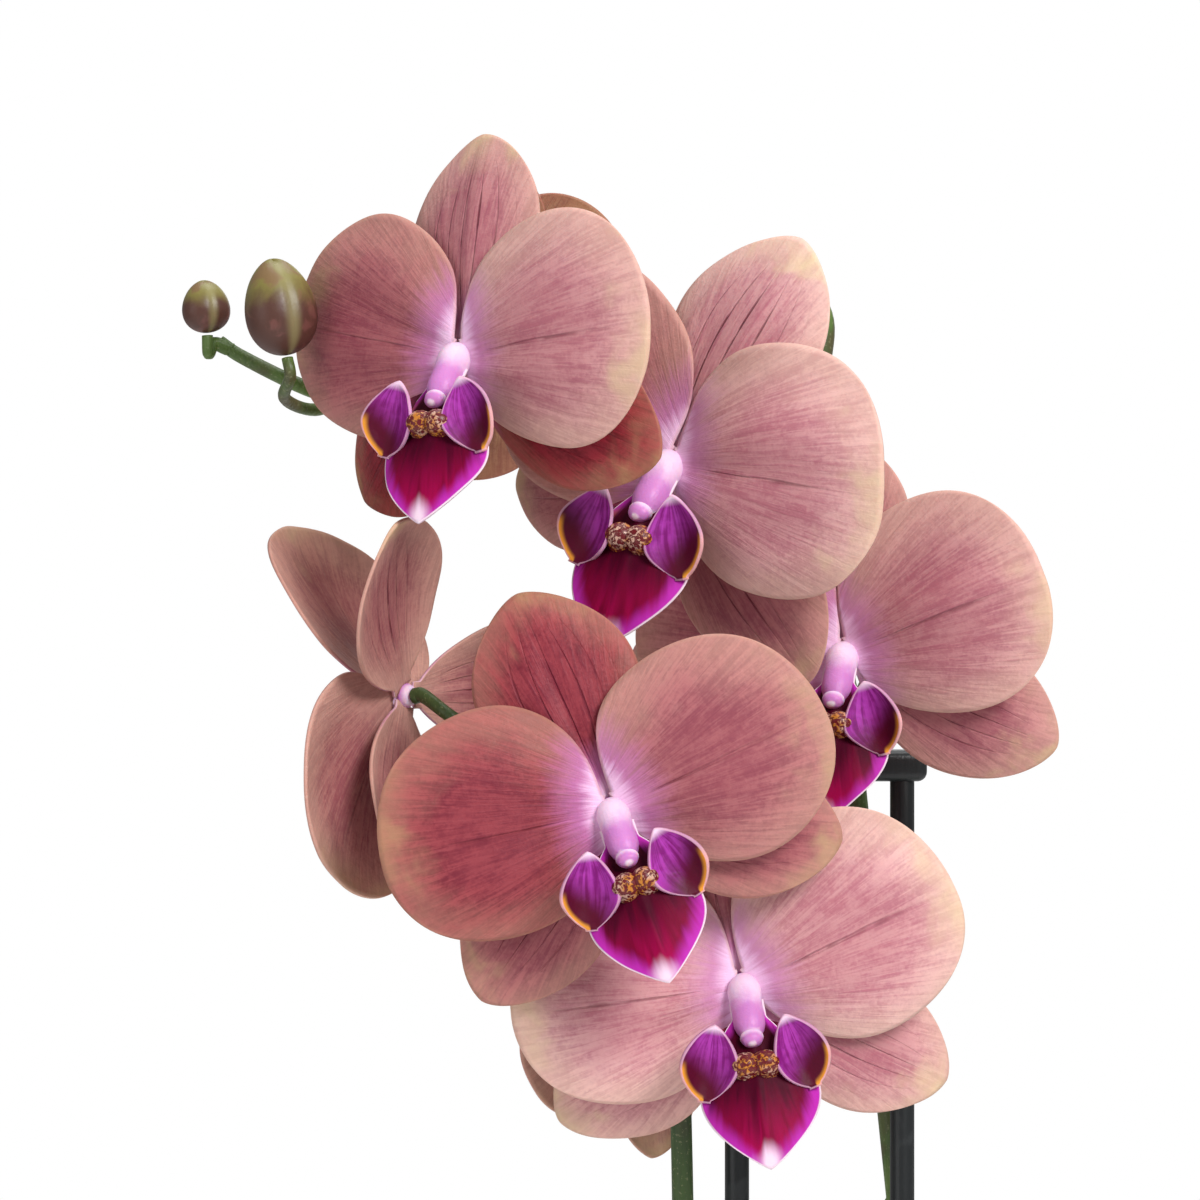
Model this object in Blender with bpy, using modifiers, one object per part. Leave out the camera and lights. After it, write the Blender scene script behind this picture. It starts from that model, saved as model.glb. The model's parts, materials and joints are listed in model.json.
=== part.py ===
"""A potted moth orchid: two arching flower spikes tied to a two-stake support, in a plain round pot.

Metres, +Z up. The origin is the centre of the pot's flat base, and the flowers mostly face -Y.
Places among the flowers are in flower spans, from the point of the pot's axis at the crossbar's height."""

import math
from typing import NamedTuple

import bmesh
import bpy
from mathutils import Matrix, Vector

GAP = 0.0003  # room between pieces that touch

# Pot and bark
POT_RIM_DIAMETER = 0.120
POT_BASE_DIAMETER = 0.088
POT_HEIGHT = 0.110
POT_WALL = 0.0020
RIM_HEIGHT = 0.010
RIM_LIP = 0.0025
HEADSPACE = 0.016
DRAIN_SLOTS = 6
DRAIN_SLOT_WIDTH = 0.0036
DRAIN_SLOT_LENGTH = 0.013
TURNED_SIDES = 32

# Support frame
SUPPORT_HEIGHT = 0.465
STAKE_SPACING = 0.038
STAKE_DIAMETER = 0.0056
SUPPORT_SHIFT = 0.0025  # the frame's middle, to the right of the pot's axis
CROSSBAR_HEIGHT = 0.0072
CROSSBAR_DEPTH = 0.0084
CROSSBAR_OVERHANG = 0.0055
STAKE_SOCKET_DEPTH = 0.0045
CLIP_HEIGHT = 0.009
CLIP_WALL = 0.0014
CLIP_LEVELS = (0.30, 0.24)  # of the upper and the front spike

# Plant
FLOWER_SPAN = 0.095
TEPAL_THICKNESS = 0.0009
SPIKE_DIAMETER = 0.0058
STALK_DIAMETER = 0.0030
CROWN_DIAMETER = 0.014
CROWN_HEIGHT = 0.036
CROWN_PLACE = (-0.002, -0.021)
LEAF_LENGTH = 0.185
LEAF_WIDTH = 0.060
LEAF_THICKNESS = 0.0020
LEAF_PITCH = 0.0052  # from one leaf's base up to the next
ROOT_DIAMETER = 0.0046

# Parts of a flower, in flower spans
PETAL_LENGTH, PETAL_WIDTH, PETAL_SHOULDER = 0.475, 0.49, 0.30
DORSAL_LENGTH, DORSAL_WIDTH = 0.49, 0.36
LATERAL_LENGTH, LATERAL_WIDTH = 0.49, 0.31
LATERAL_ANGLE = 122
HUB_RADIUS, HUB_FRONT, HUB_BACK = 0.034, 0.008, 0.022
SEPAL_START, PETAL_START, PETAL_LIFT = 0.021, 0.042, 0.018
LIP_LENGTH, LIP_WIDTH = 0.37, 0.27
SIDE_LOBE_LENGTH, SIDE_LOBE_WIDTH, SIDE_LOBE_ROLL = 0.175, 0.13, 28
COLUMN_LENGTH, COLUMN_FOOT, COLUMN_CAP = 0.125, 0.026, 0.043

BARK_LEVEL = POT_HEIGHT - HEADSPACE
STAKE_X = {side: SUPPORT_SHIFT + side * STAKE_SPACING / 2 for side in (-1, 1)}
STEM_BESIDE_STAKE = {-1: Vector((-0.0110, -0.0040, 0)), 1: Vector((0.0045, 0.0085, 0))}
STEM_ROUND_STAKE = {-1: Vector((-0.0040, -0.0100, 0)), 1: Vector((-0.0100, 0.0115, 0))}


class Flower(NamedTuple):
    """Where a flower is and how it is turned, in degrees as seen from in front of it."""

    name: str
    place: tuple  # in flower spans
    left: float
    up: float
    sepal_roll: float
    petal_roll: float
    petal_angle: float  # from the petals' middle up to each petal
    lip_roll: float
    size: float
    leans: tuple  # how far the left petal, the right petal and the sepals lean forward


UPPER_FLOWERS = (
    Flower("upper_left_flower", (-0.81, -0.55, 0.945), 38, 0, 5, -3, 82, 2, 1.04, (-4, -4, -7)),
    Flower("centre_right_flower", (-0.335, -0.46, 0.708), 38, 0, -28, -22, 77, -8, 1.14, (-3, -3, -6)),
    Flower("right_flower", (0.065, -0.33, 0.275), 25, 0, 8, 6, 76, 0, 1.03, (0, 0, -5)),
    Flower("back_facing_flower", (-0.77, 0.36, 1.10), 170, 0, 123, 123, 78, 123, 0.80, (0, 0, -5)),
)
FRONT_FLOWERS = (
    Flower("front_flower", (-0.48, -0.84, -0.05), 0, 0, 24, 19, 83, 19, 1.0, (4, 4, -2)),
    Flower("lower_flower", (-0.19, -0.64, -0.45), 0, 0, 6, 16, 80, 8, 1.02, (3, 3, -3)),
    Flower("side_flower", (-0.95, -0.38, 0.18), 126, 0, -35, -69, 76, -5, 1.0, (38, -10, -16)),
    Flower("hidden_flower", (-0.46, 0.16, 0.0), 80, 0, -10, -10, 76, 0, 0.6, (4, 4, -3)),
    Flower("low_back_flower", (-0.36, 0.24, -0.58), 150, 0, -49, -49, 76, 0, 0.8, (0, 0, -5)),
)
# The arching ends of the spikes, from the crossbar's level to their tips, in flower spans.
UPPER_ARCH = (
    (0.12, 0.10, -0.06),
    (0.10, 0.10, 0.15),
    (0.06, 0.08, 0.50),
    (0.03, 0.06, 0.85),
    (0.055, 0.06, 1.10),
    (-0.02, 0.10, 1.18),
    (-0.14, 0.14, 1.12),
    (-0.32, 0.13, 1.03),
    (-0.60, 0.02, 0.98),
    (-0.90, -0.07, 0.93),
    (-1.05, -0.10, 0.885),
    (-1.15, -0.11, 0.89),
    (-1.23, -0.13, 0.915),
    (-1.36, -0.13, 0.98),
    (-1.41, -0.13, 1.015),
)
FRONT_ARCH = (
    (-0.31, -0.05, -0.86),
    (-0.33, -0.08, -0.55),
    (-0.36, -0.16, -0.25),
    (-0.40, -0.26, -0.02),
    (-0.47, -0.32, 0.07),
    (-0.56, -0.34, 0.08),
    (-0.64, -0.34, 0.06),
)
LARGE_BUD_STALK = ((-1.10, -0.11, 0.885), (-1.18, -0.17, 0.85), (-1.24, -0.27, 0.87))
SMALL_BUD_STALK = ((-1.38, -0.13, 0.995), (-1.42, -0.14, 1.01))
# Each bud: name, centre, width and length, lean to the left, and the route of its stalk before the bud.
BUDS = (
    ("large_bud", (-1.243, -0.37, 1.074), 0.158, 0.225, 9, LARGE_BUD_STALK),
    ("small_bud", (-1.44, -0.16, 1.095), 0.108, 0.125, 4, SMALL_BUD_STALK),
)

# Leaves from the lowest up: heading in degrees from +X, rise above level, droop along the leaf, and
# share of full size.
LEAVES = (
    (184, 30, 92, 0.96),
    (-8, 30, 95, 1.0),
    (170, 38, 92, 1.0),
    (12, 40, 95, 0.94),
    (190, 50, 88, 0.86),
    (-4, 52, 84, 0.74),
)
# Aerial roots: routes from the crown over the bark, as (share of the rim's radius, degrees from +X,
# metres above the rim).
ROOTS = (
    ((0.56, -96, -0.008), (0.68, -88, 0.006), (0.92, -78, 0.010), (1.14, -72, 0.002), (1.22, -68, -0.030)),
    (
        (0.62, -112, -0.009),
        (0.78, -112, 0.005),
        (0.98, -115, 0.009),
        (1.15, -119, -0.004),
        (1.20, -122, -0.024),
    ),
    ((0.50, -66, -0.010), (0.62, -50, -0.005), (0.74, -38, -0.010)),
)


def new_collection(name):
    collection = bpy.data.collections.new(name)
    bpy.context.scene.collection.children.link(collection)
    return collection


def clear_scene():
    for obj in list(bpy.data.objects):
        bpy.data.objects.remove(obj)


clear_scene()
PARTS = new_collection("potted_orchid")
CUTTERS = new_collection("cutters")


def material(name, colour, roughness):
    made = bpy.data.materials.new(name)
    made.use_nodes = True
    shader = made.node_tree.nodes["Principled BSDF"]
    shader.inputs["Base Color"].default_value = (*colour, 1)
    shader.inputs["Roughness"].default_value = roughness
    made.diffuse_color = (*colour, 1)
    return made


PETAL_PINK = material("petal_pink", (0.52, 0.17, 0.18), 0.55)
SEPAL_PINK = material("sepal_pink", (0.47, 0.15, 0.15), 0.55)
LIP_MAGENTA = material("lip_magenta", (0.36, 0.0, 0.12), 0.45)
SPIKE_GREEN = material("spike_green", (0.10, 0.19, 0.04), 0.5)
BUD_OLIVE = material("bud_olive", (0.25, 0.22, 0.06), 0.4)
LEAF_GREEN = material("leaf_green", (0.04, 0.12, 0.02), 0.35)
ROOT_GREY = material("root_grey", (0.42, 0.46, 0.36), 0.8)
BARK_BROWN = material("bark_brown", (0.16, 0.08, 0.04), 0.9)
POT_WHITE = material("pot_white", (0.80, 0.79, 0.76), 0.3)
SUPPORT_BLACK = material("support_black", (0.012, 0.014, 0.015), 0.4)


def add_object(name, mesh, collection=PARTS):
    obj = bpy.data.objects.new(name, mesh)
    collection.objects.link(obj)
    if collection is CUTTERS:
        obj.hide_render = True
        obj.display_type = "WIRE"
    return obj


def finish(obj, name, colour):
    obj.name = name
    obj.data.materials.clear()
    obj.data.materials.append(colour)
    obj.data.shade_smooth()
    return obj


def boolean(target, other, operation):
    modifier = target.modifiers.new(operation.lower(), "BOOLEAN")
    modifier.operation = operation
    modifier.object = other


def grow_together(pieces):
    """Joins the later pieces to the first, as one grown solid."""
    first, *others = pieces
    for other in others:
        boolean(first, other, "UNION")
    return first


def smooth_route(points, steps):
    """Points along a smooth curve through the given points, with this many steps between each two."""
    points = [Vector(p) for p in points]
    ends = [2 * points[0] - points[1], *points, 2 * points[-1] - points[-2]]
    route = []
    for before, start, end, after in zip(ends, ends[1:], ends[2:], ends[3:]):
        for i in range(steps):
            t = i / steps
            bend = (2 * before - 5 * start + 4 * end - after) * t**2
            twist = (3 * start - before - 3 * end + after) * t**3
            route.append(start + ((end - before) * t + bend + twist) / 2)
    return [*route, points[-1]]


def tube(name, route, radius, tip_radius, collection):
    """A round stem along a route, as a closed mesh."""
    curve = bpy.data.curves.new(name, "CURVE")
    curve.dimensions = "3D"
    curve.bevel_depth = 1
    curve.bevel_resolution = 1
    curve.use_fill_caps = True
    spline = curve.splines.new("POLY")
    spline.points.add(len(route) - 1)
    for i, (point, place) in enumerate(zip(spline.points, route)):
        point.co = (*place, 1)
        point.radius = radius + (tip_radius - radius) * i / (len(route) - 1)
    guide = add_object(name + "_route", curve, collection)
    graph = bpy.context.evaluated_depsgraph_get()
    mesh = bpy.data.meshes.new_from_object(guide.evaluated_get(graph))
    bm = bmesh.new()
    bm.from_mesh(mesh)
    bmesh.ops.remove_doubles(bm, verts=bm.verts, dist=0.00001)
    bm.to_mesh(mesh)
    bm.free()
    made = add_object(name, mesh, collection)
    made.matrix_world = guide.matrix_world
    bpy.data.objects.remove(guide)
    return made


def outline(t, widest, roundness, claw):
    """A blade's half width, from 0 to 1, at a share t of its length."""
    share = math.sin(math.pi * t ** (math.log(0.5) / math.log(widest))) ** roundness
    return max(share, claw) if t < widest else share


def blade(
    name,
    length,
    width,
    lean,
    bend,
    fold,
    thickness,
    collection,
    shape=(0.57, 0.46, 0.12),
    grid=(4, 6),
    shoulder=0,
):
    """A thin blade that starts at the origin, points up (+Z) and faces -Y.

    It leans forward by lean degrees at its foot and by lean + bend at its tip, and its edges fold
    back by this share of its half width. The shape is where it is widest, its roundness and its claw.
    Its wide part reaches back past its claw by this share of its length."""
    bm = bmesh.new()
    bmesh.ops.create_grid(bm, x_segments=grid[0], y_segments=grid[1], size=1)
    for vert in bm.verts:
        x, y, _ = vert.co
        across = x * math.sqrt(1 - y * y / 2)
        along = y * math.sqrt(1 - x * x / 2)
        t = min(max((along + 1) / 2, 0), 1)
        side = across / math.sqrt(max(1 - along * along, 1e-9))
        half = side * outline(t, *shape)
        foot, tip = math.radians(lean), math.radians(lean + bend * t)
        middle = (foot + tip) / 2
        reach = t - shoulder * half**2 * (1 - t) ** 2
        centre = length * reach * Vector((0, -math.sin(middle), math.cos(middle)))
        forward = Vector((0, -math.cos(tip), -math.sin(tip)))
        vert.co = centre + Vector((half * width / 2, 0, 0)) - forward * fold * half**2 * width / 2
    mesh = bpy.data.meshes.new(name)
    bm.to_mesh(mesh)
    bm.free()
    made = add_object(name, mesh, collection)
    solidify = made.modifiers.new("thickness", "SOLIDIFY")
    solidify.thickness = thickness
    solidify.offset = 0
    return made


def bore_radius(radius, sides):
    """The corner radius of a bore with this many flats that clears a round piece."""
    return (radius + GAP) / math.cos(math.pi / sides)


def cone(name, foot_radius, top_radius, length, sides, collection):
    """A cone frustum from the origin up +Z."""
    bm = bmesh.new()
    bmesh.ops.create_cone(
        bm, cap_ends=True, segments=sides, radius1=foot_radius, radius2=top_radius, depth=length
    )
    bmesh.ops.translate(bm, verts=bm.verts, vec=(0, 0, length / 2))
    mesh = bpy.data.meshes.new(name)
    bm.to_mesh(mesh)
    bm.free()
    return add_object(name, mesh, collection)


def rolled(degrees):
    """A turn to the left about the flower's own facing direction."""
    return Matrix.Rotation(math.radians(-degrees), 4, "Y")


def leaned(degrees):
    """A turn that tips +Z forward, to -Y."""
    return Matrix.Rotation(math.radians(degrees), 4, "X")


def among_flowers(place):
    return Vector((0, 0, SUPPORT_HEIGHT)) + FLOWER_SPAN * Vector(place)


def flower_frame(flower):
    left = Matrix.Rotation(math.radians(-flower.left), 4, "Z")
    up = Matrix.Rotation(math.radians(-flower.up), 4, "X")
    return Matrix.Translation(among_flowers(flower.place)) @ left @ up


def sepals(flower, frame, span):
    """The upper and the two lower sepals, on the small hub that the stalk ends in."""
    radius = HUB_RADIUS * span
    hub = cone(flower.name, radius, radius, (HUB_FRONT + HUB_BACK) * span, 6, PARTS)
    hub.matrix_world = frame @ Matrix.Translation((0, HUB_BACK * span, 0)) @ leaned(90)
    pieces = [hub]
    dorsal = ("dorsal", DORSAL_LENGTH, DORSAL_WIDTH, 0)
    laterals = [("lateral", LATERAL_LENGTH, LATERAL_WIDTH, side * LATERAL_ANGLE) for side in (-1, 1)]
    for label, length, width, angle in (dorsal, *laterals):
        sepal = blade(
            f"{flower.name}_{label}",
            length * span,
            width * span,
            flower.leans[2],
            -14,
            0.10,
            TEPAL_THICKNESS,
            CUTTERS,
            (0.55, 0.66, 0.16),
            (4, 4),
        )
        reach = Matrix.Translation((0, 0, SEPAL_START * span))
        sepal.matrix_world = frame @ rolled(flower.sepal_roll + angle) @ reach
        pieces.append(sepal)
    finish(grow_together(pieces), f"{flower.name}_sepals", SEPAL_PINK)


def petal(flower, frame, span, side):
    lean = flower.leans[1 if side > 0 else 0]
    length, width = PETAL_LENGTH * span, PETAL_WIDTH * span
    made = blade(flower.name, length, width, lean, 4, 0.04, TEPAL_THICKNESS, PARTS, shoulder=PETAL_SHOULDER)
    start = Matrix.Translation((0, -PETAL_LIFT * span, 0))
    reach = Matrix.Translation((0, 0, PETAL_START * span))
    made.matrix_world = frame @ start @ rolled(flower.petal_roll - side * flower.petal_angle) @ reach
    finish(made, f"{flower.name}_petal_{'right' if side > 0 else 'left'}", PETAL_PINK)


def lip(flower, frame, span):
    """The column with the lip that hangs from its foot: a middle lobe and two raised side lobes."""
    turned = frame @ rolled(flower.lip_roll)
    column = cone(flower.name, COLUMN_FOOT * span, COLUMN_CAP * span, COLUMN_LENGTH * span, 6, PARTS)
    column.matrix_world = turned @ Matrix.Translation((0, -0.036 * span, 0)) @ leaned(140)
    middle = blade(
        f"{flower.name}_middle_lobe",
        LIP_LENGTH * span,
        LIP_WIDTH * span,
        42,
        -34,
        0.16,
        TEPAL_THICKNESS,
        CUTTERS,
        (0.60, 0.9, 0.24),
        (4, 4),
    )
    middle.matrix_world = turned @ Matrix.Translation((0, -0.055 * span, -0.03 * span)) @ rolled(180)
    pieces = [column, middle]
    for side in (-1, 1):
        lobe = blade(
            f"{flower.name}_side_lobe",
            SIDE_LOBE_LENGTH * span,
            SIDE_LOBE_WIDTH * span,
            14,
            20,
            -0.3,
            TEPAL_THICKNESS,
            CUTTERS,
            (0.6, 0.6, 0.35),
            (2, 3),
        )
        foot = Matrix.Translation((side * 0.022 * span, -0.128 * span, -0.165 * span))
        lobe.matrix_world = turned @ foot @ rolled(-side * SIDE_LOBE_ROLL)
        pieces.append(lobe)
    finish(grow_together(pieces), f"{flower.name}_lip", LIP_MAGENTA)


def make_flower(flower):
    frame = flower_frame(flower)
    span = FLOWER_SPAN * flower.size
    sepals(flower, frame, span)
    petal(flower, frame, span, -1)
    petal(flower, frame, span, 1)
    lip(flower, frame, span)


def flower_stalk(flower, arch):
    """The stalk's route, from the nearest stretch of the spike to the back of the flower."""
    frame = flower_frame(flower)
    back = HUB_BACK * FLOWER_SPAN * flower.size
    end = frame @ Vector((0, back + GAP, 0))
    near_end = frame @ Vector((0, back + 0.03 * FLOWER_SPAN, 0))
    behind = frame @ Vector((0, back + 0.13 * FLOWER_SPAN, 0))
    start = min(arch, key=lambda p: (p - behind - 0.06 * FLOWER_SPAN * Vector((0, 0, -1))).length)
    quarter = start.lerp(behind, 0.45) + 0.03 * FLOWER_SPAN * Vector((0, 0, -1))
    return smooth_route((start, quarter, behind, near_end, end), 2)


def bud_frame(centre, lean):
    return Matrix.Translation(among_flowers(centre)) @ rolled(lean)


def bud_stalk(centre, length, lean, route):
    bottom = -length * FLOWER_SPAN / 2
    foot = bud_frame(centre, lean) @ Vector((0, 0, bottom - 2 * GAP))
    below = bud_frame(centre, lean) @ Vector((0, 0, bottom - 0.05 * FLOWER_SPAN))
    return smooth_route((*map(among_flowers, route), below, foot), 2)


def spike(name, side, clip_level, arch, stalks):
    """One grown stem from the crown, past its clip, through its arch, with every stalk on it."""
    stake = Vector((STAKE_X[side], 0, 0))
    beside = stake + STEM_BESIDE_STAKE[side]
    crown_x, crown_y = CROWN_PLACE
    rise = CROWN_DIAMETER / 2 + SPIKE_DIAMETER / 2 + GAP
    foot = Vector((crown_x + side * 0.45 * rise, crown_y + 0.95 * rise, BARK_LEVEL + 0.004))
    round_stake = stake + STEM_ROUND_STAKE[side] + Vector((0, 0, BARK_LEVEL + 0.055))
    straight = [beside + Vector((0, 0, clip_level + n * CLIP_HEIGHT)) for n in (-2, -0.8, 0.8, 2)]
    lower = (foot, foot + Vector((side * 0.001, 0.003, 0.012)), round_stake, *straight)
    route = smooth_route((*lower, *map(among_flowers, arch)), 2)
    stem = tube(name, route, SPIKE_DIAMETER / 2, STALK_DIAMETER / 2, PARTS)
    high = route[2 * len(lower) :]
    pieces = [stem]
    for flower in stalks:
        stalk_route = flower_stalk(flower, high)
        label = f"{flower.name}_stalk"
        pieces.append(tube(label, stalk_route, STALK_DIAMETER / 2, STALK_DIAMETER * 0.6, CUTTERS))
    return pieces


def make_bud(name, centre, width, length, lean):
    """An egg-shaped bud with its blunt end on the stalk."""
    bm = bmesh.new()
    bmesh.ops.create_uvsphere(bm, u_segments=10, v_segments=8, radius=0.5)
    for vert in bm.verts:
        height = vert.co.z
        fullness = 1.04 - 0.34 * height
        across = width * fullness
        vert.co = FLOWER_SPAN * Vector((vert.co.x * across, vert.co.y * across, height * length))
    mesh = bpy.data.meshes.new(name)
    bm.to_mesh(mesh)
    bm.free()
    bud = add_object(name, mesh)
    bud.matrix_world = bud_frame(centre, lean)
    finish(bud, name, BUD_OLIVE)


def make_spikes():
    upper = spike("upper_spike", 1, CLIP_LEVELS[0], UPPER_ARCH, UPPER_FLOWERS)
    for name, centre, _, length, lean, route in BUDS:
        stalk_route = bud_stalk(centre, length, lean, route)
        label = f"{name}_stalk"
        upper.append(tube(label, stalk_route, STALK_DIAMETER / 2, STALK_DIAMETER * 0.4, CUTTERS))
    finish(grow_together(upper), "upper_spike", SPIKE_GREEN)
    front = spike("front_spike", -1, CLIP_LEVELS[1], FRONT_ARCH, FRONT_FLOWERS)
    finish(grow_together(front), "front_spike", SPIKE_GREEN)


def make_crown_and_leaves():
    place = Matrix.Translation((*CROWN_PLACE, BARK_LEVEL + GAP))
    crown = cone("crown", CROWN_DIAMETER / 2, CROWN_DIAMETER * 0.36, CROWN_HEIGHT, 10, PARTS)
    crown.matrix_world = place
    finish(crown, "crown", LEAF_GREEN)
    for i, (heading, rise, droop, size) in enumerate(LEAVES):
        leaf = blade(
            f"leaf_{i + 1}",
            LEAF_LENGTH * size,
            LEAF_WIDTH * size,
            90 - rise,
            droop,
            0.22,
            LEAF_THICKNESS,
            PARTS,
            (0.62, 0.8, 0.26),
            (4, 8),
        )
        out = Matrix.Translation((0, -CROWN_DIAMETER / 2 - LEAF_THICKNESS, 0))
        level = Matrix.Translation((0, 0, 0.006 + LEAF_PITCH * i))
        leaf.matrix_world = place @ level @ Matrix.Rotation(math.radians(heading + 90), 4, "Z") @ out
        finish(leaf, f"leaf_{i + 1}", LEAF_GREEN)


def make_roots():
    rim = POT_RIM_DIAMETER / 2
    for i, stations in enumerate(ROOTS):
        route = []
        for share, degrees, above in stations:
            turn = math.radians(degrees)
            route.append((rim * share * math.cos(turn), rim * share * math.sin(turn), POT_HEIGHT + above))
        root = tube(f"root_{i + 1}", smooth_route(route, 3), ROOT_DIAMETER / 2, ROOT_DIAMETER * 0.36, PARTS)
        finish(root, f"root_{i + 1}", ROOT_GREY)


def turned(name, profile):
    """A solid turned about the Z axis, from a profile that ends on the axis at both ends."""
    mesh = bpy.data.meshes.new(name)
    edges = [(i, i + 1) for i in range(len(profile) - 1)]
    mesh.from_pydata([(x, 0, z) for x, z in profile], edges, [])
    made = add_object(name, mesh)
    screw = made.modifiers.new("turn", "SCREW")
    screw.steps = screw.render_steps = TURNED_SIDES
    screw.use_merge_vertices = True
    screw.merge_threshold = 0.00001
    return made


def pot_radius(level):
    """The outer radius of the pot's wall at a height, without its rim."""
    top = POT_RIM_DIAMETER / 2 - RIM_LIP
    base = POT_BASE_DIAMETER / 2
    return base + (top - base) * level / POT_HEIGHT


def make_pot():
    inner_top, floor = POT_HEIGHT, POT_WALL
    rim_bottom = POT_HEIGHT - RIM_HEIGHT
    profile = (
        (0, floor),
        (pot_radius(floor) - POT_WALL, floor),
        (pot_radius(inner_top) - POT_WALL, inner_top),
        (POT_RIM_DIAMETER / 2, inner_top),
        (POT_RIM_DIAMETER / 2, rim_bottom),
        (pot_radius(rim_bottom), rim_bottom - RIM_LIP),
        (pot_radius(0), 0),
        (0, 0),
    )
    pot = turned("pot", profile)
    for i in range(DRAIN_SLOTS):
        turn = Matrix.Rotation(2 * math.pi * i / DRAIN_SLOTS, 4, "Z")
        cutter = box("drain_slot", (DRAIN_SLOT_LENGTH, DRAIN_SLOT_WIDTH, 3 * POT_WALL), CUTTERS)
        cutter.matrix_world = turn @ Matrix.Translation((POT_BASE_DIAMETER * 0.29, 0, POT_WALL / 2))
        boolean(pot, cutter, "DIFFERENCE")
    finish(pot, "pot", POT_WHITE)


def box(name, size, collection):
    bm = bmesh.new()
    bmesh.ops.create_cube(bm, size=1)
    bmesh.ops.scale(bm, vec=size, verts=bm.verts)
    mesh = bpy.data.meshes.new(name)
    bm.to_mesh(mesh)
    bm.free()
    return add_object(name, mesh, collection)


def make_bark():
    bottom = POT_WALL + GAP
    profile = (
        (0, BARK_LEVEL),
        (pot_radius(BARK_LEVEL) - POT_WALL - GAP, BARK_LEVEL),
        (pot_radius(bottom) - POT_WALL - GAP, bottom),
        (0, bottom),
    )
    bark = turned("bark", profile)
    for side in (-1, 1):
        wide = bore_radius(STAKE_DIAMETER / 2, 10)
        bore = cone("stake_bore", wide, wide, BARK_LEVEL, 10, CUTTERS)
        bore.location = (STAKE_X[side], 0, 2 * bottom)
        boolean(bark, bore, "DIFFERENCE")
    finish(bark, "bark", BARK_BROWN)


def make_support():
    """Two stakes that stand in the bark, and the crossbar that their tops plug into."""
    crossbar_bottom = SUPPORT_HEIGHT - CROSSBAR_HEIGHT / 2
    stake_top = crossbar_bottom + STAKE_SOCKET_DEPTH
    stake_foot = 2 * (POT_WALL + GAP) + GAP
    length = STAKE_SPACING + 2 * CROSSBAR_OVERHANG
    crossbar = box("crossbar", (length, CROSSBAR_DEPTH, CROSSBAR_HEIGHT), PARTS)
    crossbar.location = (SUPPORT_SHIFT, 0, SUPPORT_HEIGHT)
    edges = crossbar.modifiers.new("rounding", "BEVEL")
    edges.width = 0.0010
    edges.segments = 1
    for side, label in ((-1, "left_stake"), (1, "right_stake")):
        wide = bore_radius(STAKE_DIAMETER / 2, 10)
        socket = cone("stake_socket", wide, wide, 2 * STAKE_SOCKET_DEPTH, 10, CUTTERS)
        socket.location = (STAKE_X[side], 0, stake_top + GAP - 2 * STAKE_SOCKET_DEPTH)
        boolean(crossbar, socket, "DIFFERENCE")
        stake = cone(label, STAKE_DIAMETER / 2, STAKE_DIAMETER / 2, stake_top - stake_foot, 10, PARTS)
        stake.location = (STAKE_X[side], 0, stake_foot)
        finish(stake, label, SUPPORT_BLACK)
    finish(crossbar, "crossbar", SUPPORT_BLACK)


def make_clip(name, side, level):
    """A band round a stake and the stem beside it."""
    stake = Vector((STAKE_X[side], 0, level - CLIP_HEIGHT / 2))
    offset = STEM_BESIDE_STAKE[side]
    rings = ((stake, STAKE_DIAMETER / 2), (stake + offset, SPIKE_DIAMETER / 2))
    bridge = box(name, (offset.length, STAKE_DIAMETER * 0.8, CLIP_HEIGHT), PARTS)
    turn = Matrix.Rotation(math.atan2(offset.y, offset.x), 4, "Z")
    bridge.matrix_world = Matrix.Translation(stake + offset / 2 + Vector((0, 0, CLIP_HEIGHT / 2))) @ turn
    for centre, radius in rings:
        outer = radius + GAP + CLIP_WALL
        ring = cone(f"{name}_ring", outer, outer, CLIP_HEIGHT, 12, CUTTERS)
        ring.location = centre
        boolean(bridge, ring, "UNION")
    for centre, radius in rings:
        wide = bore_radius(radius, 12)
        bore = cone(f"{name}_bore", wide, wide, 3 * CLIP_HEIGHT, 12, CUTTERS)
        bore.location = centre - Vector((0, 0, CLIP_HEIGHT))
        boolean(bridge, bore, "DIFFERENCE")
    finish(bridge, name, SUPPORT_BLACK)


def main():
    make_pot()
    make_bark()
    make_support()
    make_clip("upper_spike_clip", 1, CLIP_LEVELS[0])
    make_clip("front_spike_clip", -1, CLIP_LEVELS[1])
    make_crown_and_leaves()
    make_roots()
    make_spikes()
    for name, centre, width, length, lean, _ in BUDS:
        make_bud(name, centre, width, length, lean)
    for flower in (*UPPER_FLOWERS, *FRONT_FLOWERS):
        make_flower(flower)


main()
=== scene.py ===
"""The looks of a potted moth orchid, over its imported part.

Metres, +Z up. The origin is the centre of the pot's flat base, and the flowers mostly face -Y.
Places among the flowers are in flower spans, from the pot's axis at the crossbar's height."""

import json
import math
import random
from typing import NamedTuple

import bmesh
import bpy
from mathutils import Matrix, Vector, noise

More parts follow.
